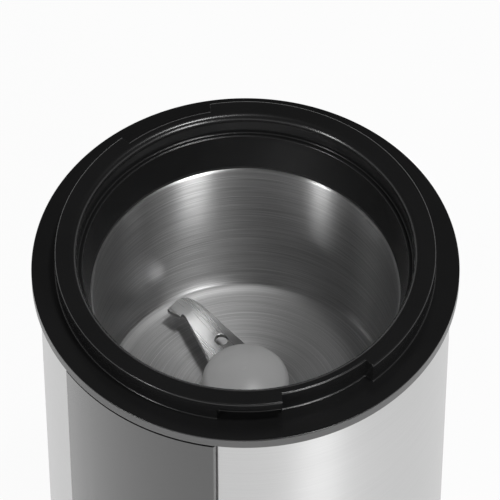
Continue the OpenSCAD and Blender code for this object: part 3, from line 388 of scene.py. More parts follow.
def shade(colour: Colour, factor: float) -> Colour:
    """A colour made lighter or darker."""
    return tuple(min(1.0, c * factor) for c in colour)


def spread(colour: Colour, contrast: float, low: float = 0.3, high: float = 0.7) -> list[tuple]:
    """Two stops of a ramp: a colour made darker at the low one and lighter at the high one."""
    return [(low, shade(colour, 1.0 - contrast)), (high, shade(colour, 1.0 + contrast))]


@dataclass(frozen=True)
class Finish:
    """What every finish has.

    Attributes:
        name: Name of the material.
        colour: Its mean colour.
        roughness: Its mean roughness.
    """

    name: str
    colour: Colour
    roughness: float

    def nodes(self) -> NodeTree:
        """Starts its material."""
        return NodeTree(bpy.data.materials.new(self.name))

    def material(self) -> bpy.types.Material:
        """Builds the nodes."""
        raise NotImplementedError


@dataclass(frozen=True)
class Moulded(Finish):
    """Moulded plastic or rubber: a faint mottle, a fine grain and a soft gloss.

    Attributes:
        mottle: How far the colour varies, as a share.
        grain: Height of the surface's grain, in millimetres.
        grain_size: Size of the grain, in millimetres.
        specular: Level of its reflection.
        coat: Weight of a clear gloss over it.
        highlight_x: Distance from the middle along X past which a painted highlight lightens its bevels, or
            0 for none.
        highlight_grey: Grey of that painted highlight.
    """

    mottle: float
    grain: float
    grain_size: float
    specular: float = 0.5
    coat: float = 0.0
    highlight_x: float = 0.0
    highlight_grey: float = 0.05

    def material(self) -> bpy.types.Material:
        """Builds the nodes."""
        made = self.nodes()
        place = made.object_place()
        broad = made.noise(place, scale=60.0, detail=4.0)
        fine = made.noise(place, scale=1.0 / (self.grain_size * MM), detail=2.0)
        colour = made.ramp(broad, spread(self.colour, self.mottle))
        # Painted highlight: past a set distance along X the colour turns to a lighter grey, as light caught
        # on the bevels would look.
        if self.highlight_x:
            side = made.math("ABSOLUTE", made.add("SeparateXYZ", {0: place}).outputs[0])
            edge = made.math("GREATER_THAN", side, self.highlight_x * MM)
            colour = made.mixed(edge, colour, grey(self.highlight_grey))
        levels = {"Specular IOR Level": self.specular, "Coat Weight": self.coat, "Coat Roughness": 0.12}
        return made.principled(colour, made.uneven(fine, self.roughness, 0.12), fine, self.grain, levels)


@dataclass(frozen=True)
class Brushed(Finish):
    """Steel with fine grooves that run along the surface's first direction.

    The grooves are a noise that is stretched along them: it is read at (x, y) on a coarse scale and at
    the length across the grooves on a fine one. They tint the metal, change its gloss and dent it, and
    the reflection smears across them. The peaks of a longer and finer noise are single bright scratches.

    Attributes:
        anisotropy: How far the reflection smears.
        contrast: How far the grooves tint the metal, as a share.
        length: Length of a groove, in millimetres.
        width: Width of a groove, in millimetres.
        depth: Depth of the grooves, in millimetres.
        scratches: How much lighter a scratch is, as a share.
        grooves: Which way the grooves run.
    """

    anisotropy: float
    contrast: float
    length: float
    width: float
    depth: float
    scratches: float = 0.0
    grooves: Grooves = Grooves.ROUND

    def material(self) -> bpy.types.Material:
        """Builds the nodes."""
        made = self.nodes()
        place = made.add("SeparateXYZ", {0: made.object_place()}).outputs
        across = made.add("SeparateXYZ", {0: made.add("UVMap", uv_map=UV_NAME).outputs[0]})
        along = 1.0 / (self.length * MM)
        fed = [(place[0], along), (place[1], along), (across.outputs[1], 1.0 / (self.width * UV_PER_MM))]
        scaled = {k: made.math("MULTIPLY", value, scale) for k, (value, scale) in enumerate(fed)}
        vector = made.add("CombineXYZ", scaled).outputs[0]
        grooves = made.noise(vector, scale=1.0, detail=4.0)
        broad = made.noise(vector, scale=0.22, detail=2.0)
        both = made.math("ADD", made.math("MULTIPLY", grooves, 0.82), made.math("MULTIPLY", broad, 0.18))
        colour = made.ramp(both, spread(self.colour, self.contrast, 0.34, 0.66))
        if self.scratches:
            stretch = {0: vector, 1: (0.35, 0.35, 1.3)}
            longer = made.add("VectorMath", stretch, operation="MULTIPLY").outputs[0]
            fine = made.noise(longer, scale=1.0, detail=2.0)
            peaks = made.add("MapRange", {"Value": fine, "From Min": 0.62, "From Max": 0.7})
            lighter = shade(self.colour, 1.0 + self.scratches)
            colour = made.mixed(peaks.outputs["Result"], colour, lighter)
        tangent = made.add("Tangent", direction_type="UV_MAP", uv_map=UV_NAME)
        levels = {
            "Metallic": 1.0,
            "Anisotropic": self.anisotropy,
            "Anisotropic Rotation": self.grooves.value,
            "Tangent": tangent.outputs[0],
        }
        return made.principled(colour, made.uneven(both, self.roughness, 0.14), grooves, self.depth, levels)


@dataclass(frozen=True)
class Worked(Finish):
    """Machined, cast or pressed metal: clouded tint, uneven gloss and a fine dent.

    Attributes:
        contrast: How far the tint varies, as a share.
        cloud: Size of the clouds, in millimetres.
        dent: Height of the surface's grain, in millimetres.
    """

    contrast: float
    cloud: float
    dent: float = 0.004

    def material(self) -> bpy.types.Material:
        """Builds the nodes."""
        made = self.nodes()
        place = made.object_place()
        clouds = made.noise(place, scale=1.0 / (self.cloud * MM), detail=5.0)
        fine = made.noise(place, scale=6.0 / (self.cloud * MM), detail=3.0)
        colour = made.ramp(clouds, spread(self.colour, self.contrast))
        rough = made.uneven(fine, self.roughness, 0.25)
        return made.principled(colour, rough, fine, self.dent, {"Metallic": 1.0})


@dataclass(frozen=True)
class Layered(Finish):
    """Thin sheets, turns of wire or pressed board: bands along Z under a thin gloss.

    Attributes:
        metallic: Share of metal in it.
        pitch: Height of one band, in millimetres.
        depth: Depth of the gap between two bands, in millimetres.
    """

    metallic: float
    pitch: float
    depth: float

    def material(self) -> bpy.types.Material:
        """Builds the nodes."""
        made = self.nodes()
        place = made.object_place()
        scale = math.pi / 10 / (self.pitch * MM)
        wave = {"Vector": place, "Scale": scale, "Distortion": 0.4, "Detail": 1.0}
        bands = made.add("TexWave", wave, bands_direction="Z").outputs["Fac"]
        colour = made.ramp(bands, [(0.05, shade(self.colour, 0.62)), (0.5, shade(self.colour, 1.08))])
        rough = made.uneven(made.noise(place, scale=900.0), self.roughness, 0.2)
        return made.principled(colour, rough, bands, self.depth, {"Metallic": self.metallic})


# ---- Sub-assemblies ---------------------------------------------------------------------------


Worn = list[tuple[Finish, Sequence[str]]]


@dataclass
class SubAssembly:
    """Pieces that belong together: new surfaces, and nodes that keep their shape.

    Attributes:
        pieces: The new pieces by name.
    """

    pieces: dict = field(default_factory=dict, init=False)

    def add(self, name: str, node: str, body: str, slot: str, skins: Sequence[Skin]) -> bpy.types.Object:
        """Makes a piece that stands for a node.

        Args:
            name: Name of the piece.
            node: The node that it stands for.
            body: The body that it rides on.
            slot: The node's material slot; not used.
            skins: Its surfaces.

        Returns:
            The piece.
        """
        made = joined(name, skins)
        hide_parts(node)
        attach(made, body)
        self.pieces[name] = made
        LOG.info("%s: %d faces, on %s", name, len(made.data.polygons), body)
        return made

    def build(self) -> None:
        """Makes the new pieces."""

    def finishes(self) -> Worn:
        """Its finishes, each with the new pieces and the kept nodes that wear it."""
        return []

    def dress(self) -> None:
        """Gives every piece and every kept node its finish."""
        for finish, names in self.finishes():
            material = finish.material()
            for name in names:
                paint(self.pieces.get(name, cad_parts.get(name)), material)
                LOG.info("%s: %s", name, finish.name)


def paint(target: bpy.types.Object, material: bpy.types.Material) -> None:
    """Puts a material in an object's own slot, whatever its mesh holds."""
    if not target.material_slots:
        target.data.materials.append(material)
    for place in target.material_slots:
        place.link = "OBJECT"
        place.material = material


@dataclass
class Collar(SubAssembly):
    """The black collar with its bayonet ring, and the grey band round its flange.

    Attributes:
        flange_z: Level of the flange's top.
        top_z: Level of the ring's top.
        flange_t: Thickness of the flange.
        flange_r: Radius of the flange under its thin edge.
        ring_r: Radius of the ring.
        tab_r: Radius of the ring's wall inside a notch or a slot.
        bore_r: Radius of the register bore.
        lead_in: Radius of the rounding on top of the bore.
        ledge_r: Inner radius of the ledge under the bore.
        ledge_z: Level of the ledge.
        foot_r: Inner radius of the throat's foot, over the bowl.
        foot_z: Level of that foot.
        wall_t: Thickness of the throat's wall.
        skirt_r: Outer radius of the skirt under the flange.
        skirt_t: Thickness of the skirt.
        skirt_z: Level of the skirt's foot.
        lug_z: Level of the slots' roofs.
        edge_r: Radius of the flange's thin edge, over the band.
        edge_z: Level of that edge's underside.
        notch: Angles of the first notch.
        slot: Angles of the first undercut slot.
        ease: Width of a notch's side, in degrees.
        band_in: Inner radius of the band.
        band_z: Level of the band's foot.
    """

    flange_z: float = 160.0
    top_z: float = 166.4
    flange_t: float = 1.8
    flange_r: float = 53.6
    ring_r: float = 47.9
    tab_r: float = 45.35
    bore_r: float = 42.3
    lead_in: float = 1.7
    ledge_r: float = 41.1
    ledge_z: float = 160.4
    foot_r: float = 39.4
    foot_z: float = 150.0
    wall_t: float = 2.2
    skirt_r: float = 50.3
    skirt_t: float = 1.4
    skirt_z: float = 148.4
    lug_z: float = 164.1
    edge_r: float = 54.0
    edge_z: float = 159.6
    notch: tuple[float, float] = (-46.5, -16.5)
    slot: tuple[float, float] = (-66.0, -46.5)
    ease: float = 0.45
    band_in: float = 51.3
    band_z: float = 156.7

    def _angles(self) -> np.ndarray:
        """Angles round the collar, closer together where the ring changes."""
        edges = [self.notch[0], self.notch[1], self.slot[0]]
        edges = np.array([e + turn for e in edges for turn in (0.0, 180.0)])
        fine = (edges[:, None] + np.linspace(-self.ease, self.ease, 17)).ravel()
        return np.unique(np.round(np.concatenate([np.arange(0.0, 360.0, 0.9), fine % 360.0]), 4))

    def _profiles(self, angles: np.ndarray) -> np.ndarray:
        """Outline of the collar's section at each angle.

        The ring's upper radius drops in a notch, and its lower radius in a notch and in a slot.

        Args:
            angles: Angles in degrees.

        Returns:
            Closed outlines of shape (angles, points, 2).
        """
        notch = window(angles, *self.notch, self.ease)
        slot = window(angles, *self.slot, self.ease)
        upper = self.ring_r + (self.tab_r - self.ring_r) * notch
        lower = self.ring_r + (self.tab_r - self.ring_r) * np.maximum(notch, slot)
        under = self.flange_z - self.flange_t
        rows = [
            (self.bore_r, self.top_z, self.lead_in),
            (upper, self.top_z, 0.4),
            (upper, self.lug_z + 0.1, 0.09),
            (lower, self.lug_z - 0.1, 0.09),
            (lower, self.flange_z, 0.3),
            (self.edge_r, self.flange_z, 0.15),
            (self.edge_r, self.edge_z, 0.06),
            (self.flange_r, self.edge_z, 0.04),
            (self.flange_r, under, 0.1),
            (self.skirt_r, under, 0.2),
            (self.skirt_r, self.skirt_z, 0.2),
            (self.skirt_r - self.skirt_t, self.skirt_z, 0.2),
            (self.skirt_r - self.skirt_t, under, 0.2),
            (self.ledge_r + self.wall_t, under, 0.2),
            (self.foot_r + self.wall_t, self.foot_z, 0.2),
            (self.foot_r, self.foot_z, 0.15),
            (self.ledge_r, self.ledge_z, 0.3),
            (self.bore_r, self.ledge_z, 0.25),
        ]
        corners = [np.stack([r + 0.0 * angles, z + 0.0 * angles], axis=-1) for r, z, _ in rows]
        return eased(np.stack(corners, axis=1), np.array([ease for _, _, ease in rows]))

    def build(self) -> None:
        """Makes the collar and the band."""
        angles = self._angles()
        ring = Skin(revolved(self._profiles(angles), angles))
        self.add("collar", "top_collar", "housing", "black_plastic", [ring])
        under = self.flange_z - self.flange_t
        corners = np.array(
            [
                (self.edge_r, self.band_z),
                (self.edge_r, self.edge_z),
                (self.flange_r, self.edge_z),
                (self.flange_r, under),
                (self.band_in, under),
                (self.band_in, self.band_z),
            ]
        )
        outline = eased(corners, np.array([0.25, 0.06, 0.05, 0.05, 0.1, 0.1]))
        band = Skin(revolved(outline, np.arange(0.0, 360.0, 1.5)))
        self.add("flange_band", "trim_ring", "housing", "grey_satin", [band])

    def finishes(self) -> Worn:
        """Black satin for the collar, satin grey for the band."""
        return [
            (Moulded("black_satin", (0.008, 0.008, 0.0082), 0.24, 0.12, 0.003, 0.35), ["collar"]),
            (Moulded("band_grey", grey(0.09), 0.36, 0.05, 0.003, 0.3), ["flange_band"]),
        ]


@dataclass
class Bowl(SubAssembly):
    """The drawn steel bowl.

    Attributes:
        radius: Inner radius of the wall.
        wall: Sheet thickness.
        floor_z: Level of the floor.
        rim_z: Level of the rim's top.
        rim_r: Radius of the clamped rim.
        fillet: Inner rounding between wall and floor.
        hole_r: Radius of the hole in the floor.
        turned_h: Height over the floor up to which the bowl is turned and not brushed.
    """

    radius: float = 38.8
    wall: float = 0.8
    floor_z: float = 101.0
    rim_z: float = 149.2
    rim_r: float = 44.2
    fillet: float = 4.0
    hole_r: float = 7.5
    turned_h: float = 1.0

    def build(self) -> None:
        """Makes the bowl as a closed sheet: inside down to the hole, and outside back to the rim."""
        out = self.radius + self.wall
        corners = np.array(
            [
                (self.rim_r, self.rim_z),
                (self.radius, self.rim_z),
                (self.radius, self.floor_z),
                (self.hole_r, self.floor_z),
                (self.hole_r, self.floor_z - self.wall),
                (out, self.floor_z - self.wall),
                (out, self.rim_z - self.wall),
                (self.rim_r, self.rim_z - self.wall),
            ]
        )
        eases = np.array([0.1, 0.6, self.fillet, 0.05, 0.05, self.fillet + self.wall, 0.2, 0.1])
        outline = eased(corners, eases, 12)
        skin = Skin(revolved(outline, np.arange(0.0, 360.0, 1.5)))
        self.add("bowl", "grinding_bowl", "housing", "bowl_steel", [skin])

    def finishes(self) -> Worn:
        """Steel brushed round the wall."""
        wall = Brushed("bowl_wall_brushed", grey(0.6), 0.38, 1.0, 0.22, 14.0, 0.2, 0.003, 0.5)
        return [(wall, ["bowl"])]

    def dress(self) -> None:
        """Dresses the bowl, and gives the faces of its floor a duller, turned finish."""
        super().dress()
        turned = Brushed("bowl_floor_turned", grey(0.5), 0.55, 0.6, 0.17, 26.0, 0.2, 0.003, 0.5)
        bowl = self.pieces["bowl"]
        bowl.data.materials.append(None)
        bowl.material_slots[1].link = "OBJECT"
        bowl.material_slots[1].material = turned.material()
        faces = bowl.data.polygons
        middles = np.empty(3 * len(faces))
        faces.foreach_get("center", middles)
        low = middles[2::3] < (self.floor_z + self.turned_h) * MM
        faces.foreach_set("material_index", low.astype(np.int32))


@dataclass
class Housing(SubAssembly):
    """The brushed sleeve with its folded edges, and the panel that closes its front.

    Attributes:
        radius: Outer radius of the sleeve.
        wall: Sheet thickness.
        low_z: Level of the sleeve's foot.
        base_z: Level of the base ring's top.
        top_z: Level of the sleeve's top.
        open_half: Half the angle that stays open at the front.
        fold_r: Radius that the folded edges reach in to.
        fold_ease: Size of the folds' rounding.
        sheet_ease: Size of the rounding on the sheet's edges.
        arc_points: Points round the sheet.
        bevel_highlight: Width of the painted highlight on the panel's bevels, seen from the front.
    """

    radius: float = 52.1
    wall: float = 0.7
    low_z: float = 22.0
    base_z: float = 24.05
    top_z: float = 156.65
    open_half: float = 24.05
    fold_r: float = 50.45
    fold_ease: float = 0.5
    sheet_ease: float = 0.12
    arc_points: int = 240
    bevel_highlight: float = 0.28

    def _sheet(self, low: float, high: float, fold: float) -> Skin:
        """A sheet that runs round the body and turns in at both ends.

        The middle line is an arc that ends in two quarter rounds towards the axis; the sheet's section
        is a thin upright rectangle with eased corners, carried along that line square to it.

        Args:
            low: Level of its lower edge.
            high: Level of its upper edge.
            fold: Radius that its ends reach in to.

        Returns:
            The closed surface.
        """
        mid = self.radius - self.wall / 2
        half_t = self.wall / 2
        edge = math.degrees(half_t / mid)
        end = 270.0 - self.open_half - edge
        start = -90.0 + self.open_half + edge
        arc = np.radians(np.linspace(start, end, self.arc_points))
        line = np.stack([mid * np.cos(arc), mid * np.sin(arc)], axis=-1)
        if fold < mid - half_t:
            first = fold * np.array([[math.cos(arc[0]), math.sin(arc[0])]])
            last = fold * np.array([[math.cos(arc[-1]), math.sin(arc[-1])]])
            line = np.concatenate([first, line, last])
            bend = np.array([line[:3], line[-3:]])
            turns = eased(bend, np.array([0.0, self.fold_ease, 0.0]), 7, closed=False)
            line = np.concatenate([turns[0][:-1], line[2:-2], turns[1][1:]])
        step = np.gradient(line, axis=0)
        step /= np.linalg.norm(step, axis=-1, keepdims=True)
        normal = np.stack([step[:, 1], -step[:, 0]], axis=-1)
        corners = np.array([(-half_t, low), (half_t, low), (half_t, high), (-half_t, high)])
        section = eased(corners, np.full(4, self.sheet_ease), 4)
        flat = line[:, None, :] + normal[:, None, :] * section[None, :, :1]
        level = np.broadcast_to(section[None, :, 1:], (*flat.shape[:2], 1))
        return Skin(np.concatenate([flat, level], axis=-1), wrap_u=False, cap_u=True)

    def build(self) -> None:
        """Makes the sleeve, with a plain foot that stands in the base ring's groove."""
        seen = self._sheet(self.base_z, self.top_z, self.fold_r)
        foot = self._sheet(self.low_z, self.base_z, self.radius)
        self.add("sleeve", "housing_sleeve", "housing", "housing_steel", [seen, foot])

    def finishes(self) -> Worn:
        """Steel brushed round the body, and a glossy grey for the panel, with a painted highlight on its
        bevels.
        """
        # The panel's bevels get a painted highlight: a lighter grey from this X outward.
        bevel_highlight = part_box("front_panel")[1].x / MM - self.bevel_highlight
        steel = Brushed("sleeve_steel_brushed", grey(0.65), 0.34, 0.9, 0.04, 20.0, 0.14, 0.0015)
        panel = Moulded("panel_grey", grey(0.006), 0.26, 0.08, 0.002, 0.3, 0.5, 0.9, bevel_highlight)
        return [(steel, ["sleeve"]), (panel, ["front_panel"])]


@dataclass
class Blade(SubAssembly):
    """The blade, and the dome over its nut.

    Each arm lies along its own X, with its trailing edge towards +Y.

    Attributes:
        top_z: Level of the blade's top.
        sheet: Its thickness.
        turn: Direction of the arm with the lowered tip.
        camber: Radius of the arms' lengthwise camber.
        camber_y: Place of the camber's crest.
        arm_x: Where an arm starts, under the dome, and where its tip is bent.
        trailing: Trailing edge's place at the axis and at the bend.
        leading: Leading edge's place at the axis and at the bend.
        bend_y: Place along Y of the bend line's origin.
        skew: Angle of the bend line off square.
        bends: How far the first tip falls and the second rises, in degrees.
        bend_drop: Level of the tip's plane at the bend line, below the blade's top.
        bend_soft: How softly the arm turns into the tip.
        tip: Length and width of a tip.
        tip_ahead: How far a tip reaches ahead of the bend line's origin.
        overlap: How far the arm's skin runs past the bend line, and where the tip's skin starts.
        handover: Where the one skin sinks below the other, past the bend line.
        sunk: How far it sinks.
        hook: How far a tip stands back of the arm's trailing edge.
        hole: Place and radius of the hole in an arm.
        edge: Rounding of the sheet's edges.
        disc: Inner and outer radius of the disc under the nut.
        dome_r: Radius of the dome.
        skirt_h: Height of the dome's straight skirt.
        dome_h: Height of the dome over its skirt.
        shoulder: Radius of the dome's shoulder.
        gate: Radius and depth of the dimple at the dome's top.
    """

    top_z: float = 108.9
    sheet: float = 1.2
    turn: float = 159.3
    camber: float = 30.0
    camber_y: float = -2.55
    arm_x: tuple[float, float] = (2.7, 28.2)
    trailing: tuple[float, float] = (5.7, -0.4)
    leading: tuple[float, float] = (-8.8, -6.0)
    bend_y: float = -5.3
    skew: float = 13.0
    bends: tuple[float, float] = (14.0, -20.0)
    bend_drop: float = 0.15
    bend_soft: float = 0.22
    tip: tuple[float, float] = (5.6, 6.6)
    tip_ahead: float = 0.7
    overlap: tuple[float, float] = (2.2, 0.9)
    handover: tuple[float, float] = (0.6, 1.8)
    sunk: float = 0.03
    hook: float = 1.0
    hole: tuple[float, float, float] = (15.0, -3.4, 1.75)
    edge: float = 0.22
    disc: tuple[float, float] = (2.55, 8.0)
    dome_r: float = 11.3
    skirt_h: float = 0.8
    dome_h: float = 5.6
    shoulder: float = 3.4
    gate: tuple[float, float] = (0.45, 0.12)

    def _past_bend(self, plan: np.ndarray) -> np.ndarray:
        """How far points of the plan lie past the bend line, square to it."""
        lean = math.radians(self.skew)
        off = plan - np.array([self.arm_x[1], self.bend_y])
        return off[..., 0] * math.cos(lean) + off[..., 1] * math.sin(lean)

    def _height(self, plan: np.ndarray, bend: float) -> np.ndarray:
        """Level of an arm's top over a plan, from the blade's top.

        Across the arm it is a circle's crest, sqrt(R * R - (y - m) * (y - m)) - R. Past the bend line the
        tip is a plane, -d - p tan(bend) at a distance p. They meet in a soft minimum where the tip
        falls, or a soft maximum where it rises: -s log(exp(-a / s) + exp(-b / s)), with s of that sign.

        Args:
            plan: Places on the plan, of shape (..., 2).
            bend: How far the tip falls, in degrees.

        Returns:
            Levels of shape (...).
        """
        across = plan[..., 1] - self.camber_y
        crest = np.sqrt(self.camber**2 - across**2) - self.camber
        plane = -self.bend_drop - self._past_bend(plan) * math.tan(math.radians(bend))
        soft = math.copysign(self.bend_soft, bend)
        return -soft * np.logaddexp(-crest / soft, -plane / soft)

    def _plate(self, outline: np.ndarray, bend: float, hole: Optional[tuple], sinks_past: bool) -> Skin:
        """Sheet over a plan, between its outline and a hole or its middle.

        Rings run from the hole's edge to the outline on the top and back on the underside. A point of a
        ring is a share k of the way from the hole to the outline, and the outermost ones follow a
        quarter circle from the top to the side and from the side to the underside.

        Args:
            outline: Corners of the plan, already rounded.
            bend: How far the arm's tip falls, in degrees.
            hole: Centre and radius of the hole, if there is one.
            sinks_past: Whether it sinks by a hair past the bend line or before it, so that each of
                the two skins hides in the other.

        Returns:
            The closed surface, unturned.
        """
        outer = resampled(outline, 0.6)
        middle = np.array(hole[:2]) if hole else outer.mean(axis=0)
        away = (outer - middle) / np.linalg.norm(outer - middle, axis=-1, keepdims=True)
        inner = middle + away * (hole[2] if hole else 0.05)
        lean = np.linspace(0.0, math.pi / 2, 5)
        share = np.concatenate([[0.0, 0.03], np.linspace(0.1, 0.97, 12)])
        flat = inner[:, None] + (outer - self.edge * away - inner)[:, None] * share[None, :, None]
        curve = outer[:, None] - (self.edge * (1.0 - np.sin(lean)))[None, :, None] * away[:, None]
        plan = np.concatenate([flat, curve], axis=1)
        drop = np.concatenate([np.zeros(len(share)), self.edge * (1.0 - np.cos(lean))])
        near, far = self.handover
        fade = smoothstep((self._past_bend(plan) - near) / (far - near))
        top = self._height(plan, bend) - self.sunk * (fade if sinks_past else 1.0 - fade)
        both = np.concatenate([plan, plan[:, ::-1]], axis=1)
        level = np.concatenate([top - drop, (top - self.sheet + drop)[:, ::-1]], axis=1)
        grid = np.concatenate([both, level[..., None]], axis=-1)
        return Skin(grid, wrap_v=hole is not None, cap_v=hole is None, places=both * UV_PER_MM)

    def _arm(self, bend: float, turn: float) -> list[Skin]:
        """One arm with its hole, and its tip.

        Args:
            bend: How far the tip falls, in degrees.
            turn: Direction of the arm, in degrees.

        Returns:
            Both surfaces in place.
        """
        root, line = self.arm_x
        slope = (self.trailing[1] - self.trailing[0]) / line
        lead = (self.leading[1] - self.leading[0]) / line
        lean = math.radians(self.skew)
        axes = np.array([[math.cos(lean), math.sin(lean)], [-math.sin(lean), math.cos(lean)]])
        origin = np.array([line, self.bend_y])
        low, high = -self.tip_ahead, self.tip[1] - self.tip_ahead
        past, start = self.overlap
        joint = origin + np.array([(past, high - self.hook - 0.3), (past, low + 0.3)]) @ axes
        arm = np.array(
            [
                (root, self.trailing[0] + slope * root),
                (line - 1.0, self.trailing[1]),
                *joint,
                (line, self.leading[1]),
                (root, self.leading[0] + lead * root),
            ]
        )
        tip = np.array([(start, low), (self.tip[0], low), (self.tip[0], high), (start, high)])
        arm = eased(arm, np.array([0.2, 0.6, 0.3, 0.3, 2.0, 0.2]), 5)
        tip = eased(origin + tip @ axes, np.array([0.1, 2.8, 0.6, 0.3]), 7)
        skins = [self._plate(arm, bend, self.hole, True), self._plate(tip, bend, None, False)]
        cos, sin = math.cos(math.radians(turn)), math.sin(math.radians(turn))
        matrix = np.array([[cos, sin, 0.0], [-sin, cos, 0.0], [0.0, 0.0, 1.0]])
        for skin in skins:
            skin.grid = skin.grid @ matrix + [0.0, 0.0, self.top_z]
        return skins

    def _dome(self) -> Skin:
        """The dome: a skirt, a shoulder arc and a flatter crown arc that meet smoothly."""
        run = self.dome_r - self.shoulder
        drop = self.dome_h - self.shoulder
        crown = (run**2 + self.dome_h**2 - self.shoulder**2) / (2 * drop)
        join = math.atan2(run, crown - self.dome_h)
        lean = np.linspace(math.pi / 2, join, 16)
        shoulder = np.stack([run + self.shoulder * np.sin(lean), self.shoulder * np.cos(lean)], axis=-1)
        lean = np.concatenate([np.linspace(join, 0.04, 24)[1:], np.linspace(0.035, 0.001, 9)])
        top = np.stack([crown * np.sin(lean), self.dome_h - crown + crown * np.cos(lean)], axis=-1)
        base = np.array([(0.05, -self.skirt_h), (self.dome_r - 0.3, -self.skirt_h), (self.dome_r, -0.55)])
        radius, depth = self.gate
        top[:, 1] -= depth * (1.0 - smoothstep(top[:, 0] / radius))
        outline = np.concatenate([base, shoulder, top]) + [0.0, self.top_z + self.skirt_h]
        return Skin(revolved(outline, np.arange(0.0, 360.0, 2.5)), wrap_v=False, cap_v=True)

    def build(self) -> None:
        """Makes the blade and the dome."""
        foot, radius = self.disc
        ring = np.array([(foot, -self.sheet), (radius, -self.sheet), (radius, 0.0), (foot, 0.0)])
        ring = eased(ring, np.full(4, 0.1), 3) + [0.0, self.top_z]
        disc = Skin(revolved(ring, np.arange(0.0, 360.0, 5.0)))
        arms = self._arm(self.bends[0], self.turn) + self._arm(self.bends[1], self.turn + 180.0)
        self.add("blade_sheet", "blade", "rotor", "blade_steel", [disc, *arms])
        self.add("dome", "hub_cap", "rotor", "dome_grey", [self._dome()])

    def finishes(self) -> Worn:
        """Ground steel for the blade, satin grey for the dome."""
        along = (20.0, 0.3, 0.001, 0.0, Grooves.ACROSS)
        steel = Brushed("blade_steel_ground", grey(0.68), 0.28, 0.3, 0.03, *along)
        dome = Moulded("dome_satin", grey(0.66), 0.38, 0.03, 0.002, 0.3)
        return [(steel, ["blade_sheet"]), (dome, ["dome"])]


@dataclass
class Base(SubAssembly):
    """The black base, its feet and the cord's gland."""

    def finishes(self) -> Worn:
        """Black satin, rubber and zinc."""
        satin = ["base_ring", "base_plate"]
        soft = ["rubber_feet", "bowl_seal", "shaft_seal", "motor_mounts", "cord_gland"]
        screws = ["base_screws", "collar_screws", "carrier_screws", "motor_bolts", "hub_nut"]
        return [
            (Moulded("base_satin", (0.013, 0.013, 0.0135), 0.4, 0.12, 0.008, 0.35), satin),
            (Moulded("rubber_matt", grey(0.02), 0.75, 0.15, 0.02, 0.4, 0.3), soft),
            (Worked("zinc_plate", (0.5, 0.51, 0.53), 0.32, 0.1, 1.0), screws),
        ]


@dataclass(frozen=True)
class Coil:
    """A spring of round wire between a fixed seat and a moving piece.

    Attributes:
        node: The node that it stands for.
        joint: The joint that moves its piece; not used.
        travel: Travel of that joint, in millimetres; not used.
        axis: Direction from its seat to its moving end.
        turns: Number of its turns.
        wire: Radius of its wire, in millimetres.
        steps: Rings of points in one turn, and points in one ring.
    """

    node: str
    joint: str
    travel: float
    axis: tuple[float, float, float]
    turns: int
    wire: float
    steps: tuple[int, int] = (48, 12)

    def _span(self) -> tuple[np.ndarray, float, float]:
        """Its seat's middle, its length and its wire's distance from the axis, from the node's box."""
        low, high = (np.array(corner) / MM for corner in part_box(self.node))
        length = float(abs((high - low) @ np.array(self.axis)))
        seat = (low + high) / 2 - np.array(self.axis) * length / 2
        return seat, length, (high - low)[0] / 2 - self.wire

    def skin(self) -> Skin:
        """The wire's surface: a helix about the axis, with a circle carried along it."""
        seat, length, radius = self._span()
        share = np.linspace(0.0, 1.0, self.steps[0] * self.turns + 1)[:, None]
        around = np.linspace(0.0, 2 * math.pi, self.steps[1], endpoint=False)[None, :]
        turn = 2 * math.pi * self.turns * share
        out = radius + self.wire * np.cos(around)
        along = self.wire + (length - 2 * self.wire) * share + self.wire * np.sin(around)
        right = np.array([1.0, 0.0, 0.0])
        ahead = np.cross(self.axis, right)
        flat = (out * np.cos(turn))[..., None] * right + (out * np.sin(turn))[..., None] * ahead
        return Skin(seat + flat + along[..., None] * np.array(self.axis), wrap_u=False, cap_u=True)

    def shorten(self, made: bpy.types.Object) -> None:
        """Gives the piece a mesh of its own."""
        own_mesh(made)


@dataclass
class Controls(SubAssembly):
    """The pulse button, the lid interlock and the electrics.

    Attributes:
        coils: The springs.
    """

    coils: tuple[Coil, ...] = (
        Coil("button_spring", "button_press", 2.0, (0.0, -1.0, 0.0), 3, 0.4),
        Coil("interlock_spring", "interlock_press", 1.0, (0.0, 0.0, 1.0), 4, 0.3),
    )

    def build(self) -> None:
        """Makes the two springs."""
        for coil in self.coils:
            made = self.add(coil.node + "_wire", coil.node, "housing", "spring_steel", [coil.skin()])
            coil.shorten(made)

    def finishes(self) -> Worn:
        """Plastics, spring steel and the board's colours."""
        pressed = ["pulse_button", "interlock_pin"]
        inner = ["inner_frame", "switch_carrier", "bearing_hub", "brush_caps"]
        switches = ["pulse_switch", "interlock_switch"]
        springs = ["brush_springs", *self.pieces]
        return [
            (Moulded("button_satin", (0.016, 0.016, 0.017), 0.42, 0.1, 0.006, 0.3), pressed),
            (Moulded("inner_moulding", (0.045, 0.045, 0.048), 0.5, 0.1, 0.012, 0.5), inner),
            (Moulded("switch_moulding", (0.025, 0.025, 0.03), 0.45, 0.1, 0.006, 0.4), switches),
            (Worked("spring_wire", (0.55, 0.55, 0.56), 0.28, 0.08, 0.6), springs),
            (Layered("board_laminate", (0.02, 0.11, 0.04), 0.35, 0.0, 0.4, 0.01), ["control_board"]),
            (Moulded("capacitor_case", (0.55, 0.42, 0.04), 0.35, 0.05, 0.004, 0.4), ["filter_capacitor"]),
            (Moulded("terminal_moulding", (0.6, 0.6, 0.56), 0.45, 0.04, 0.006, 0.4), ["terminal_block"]),
        ]


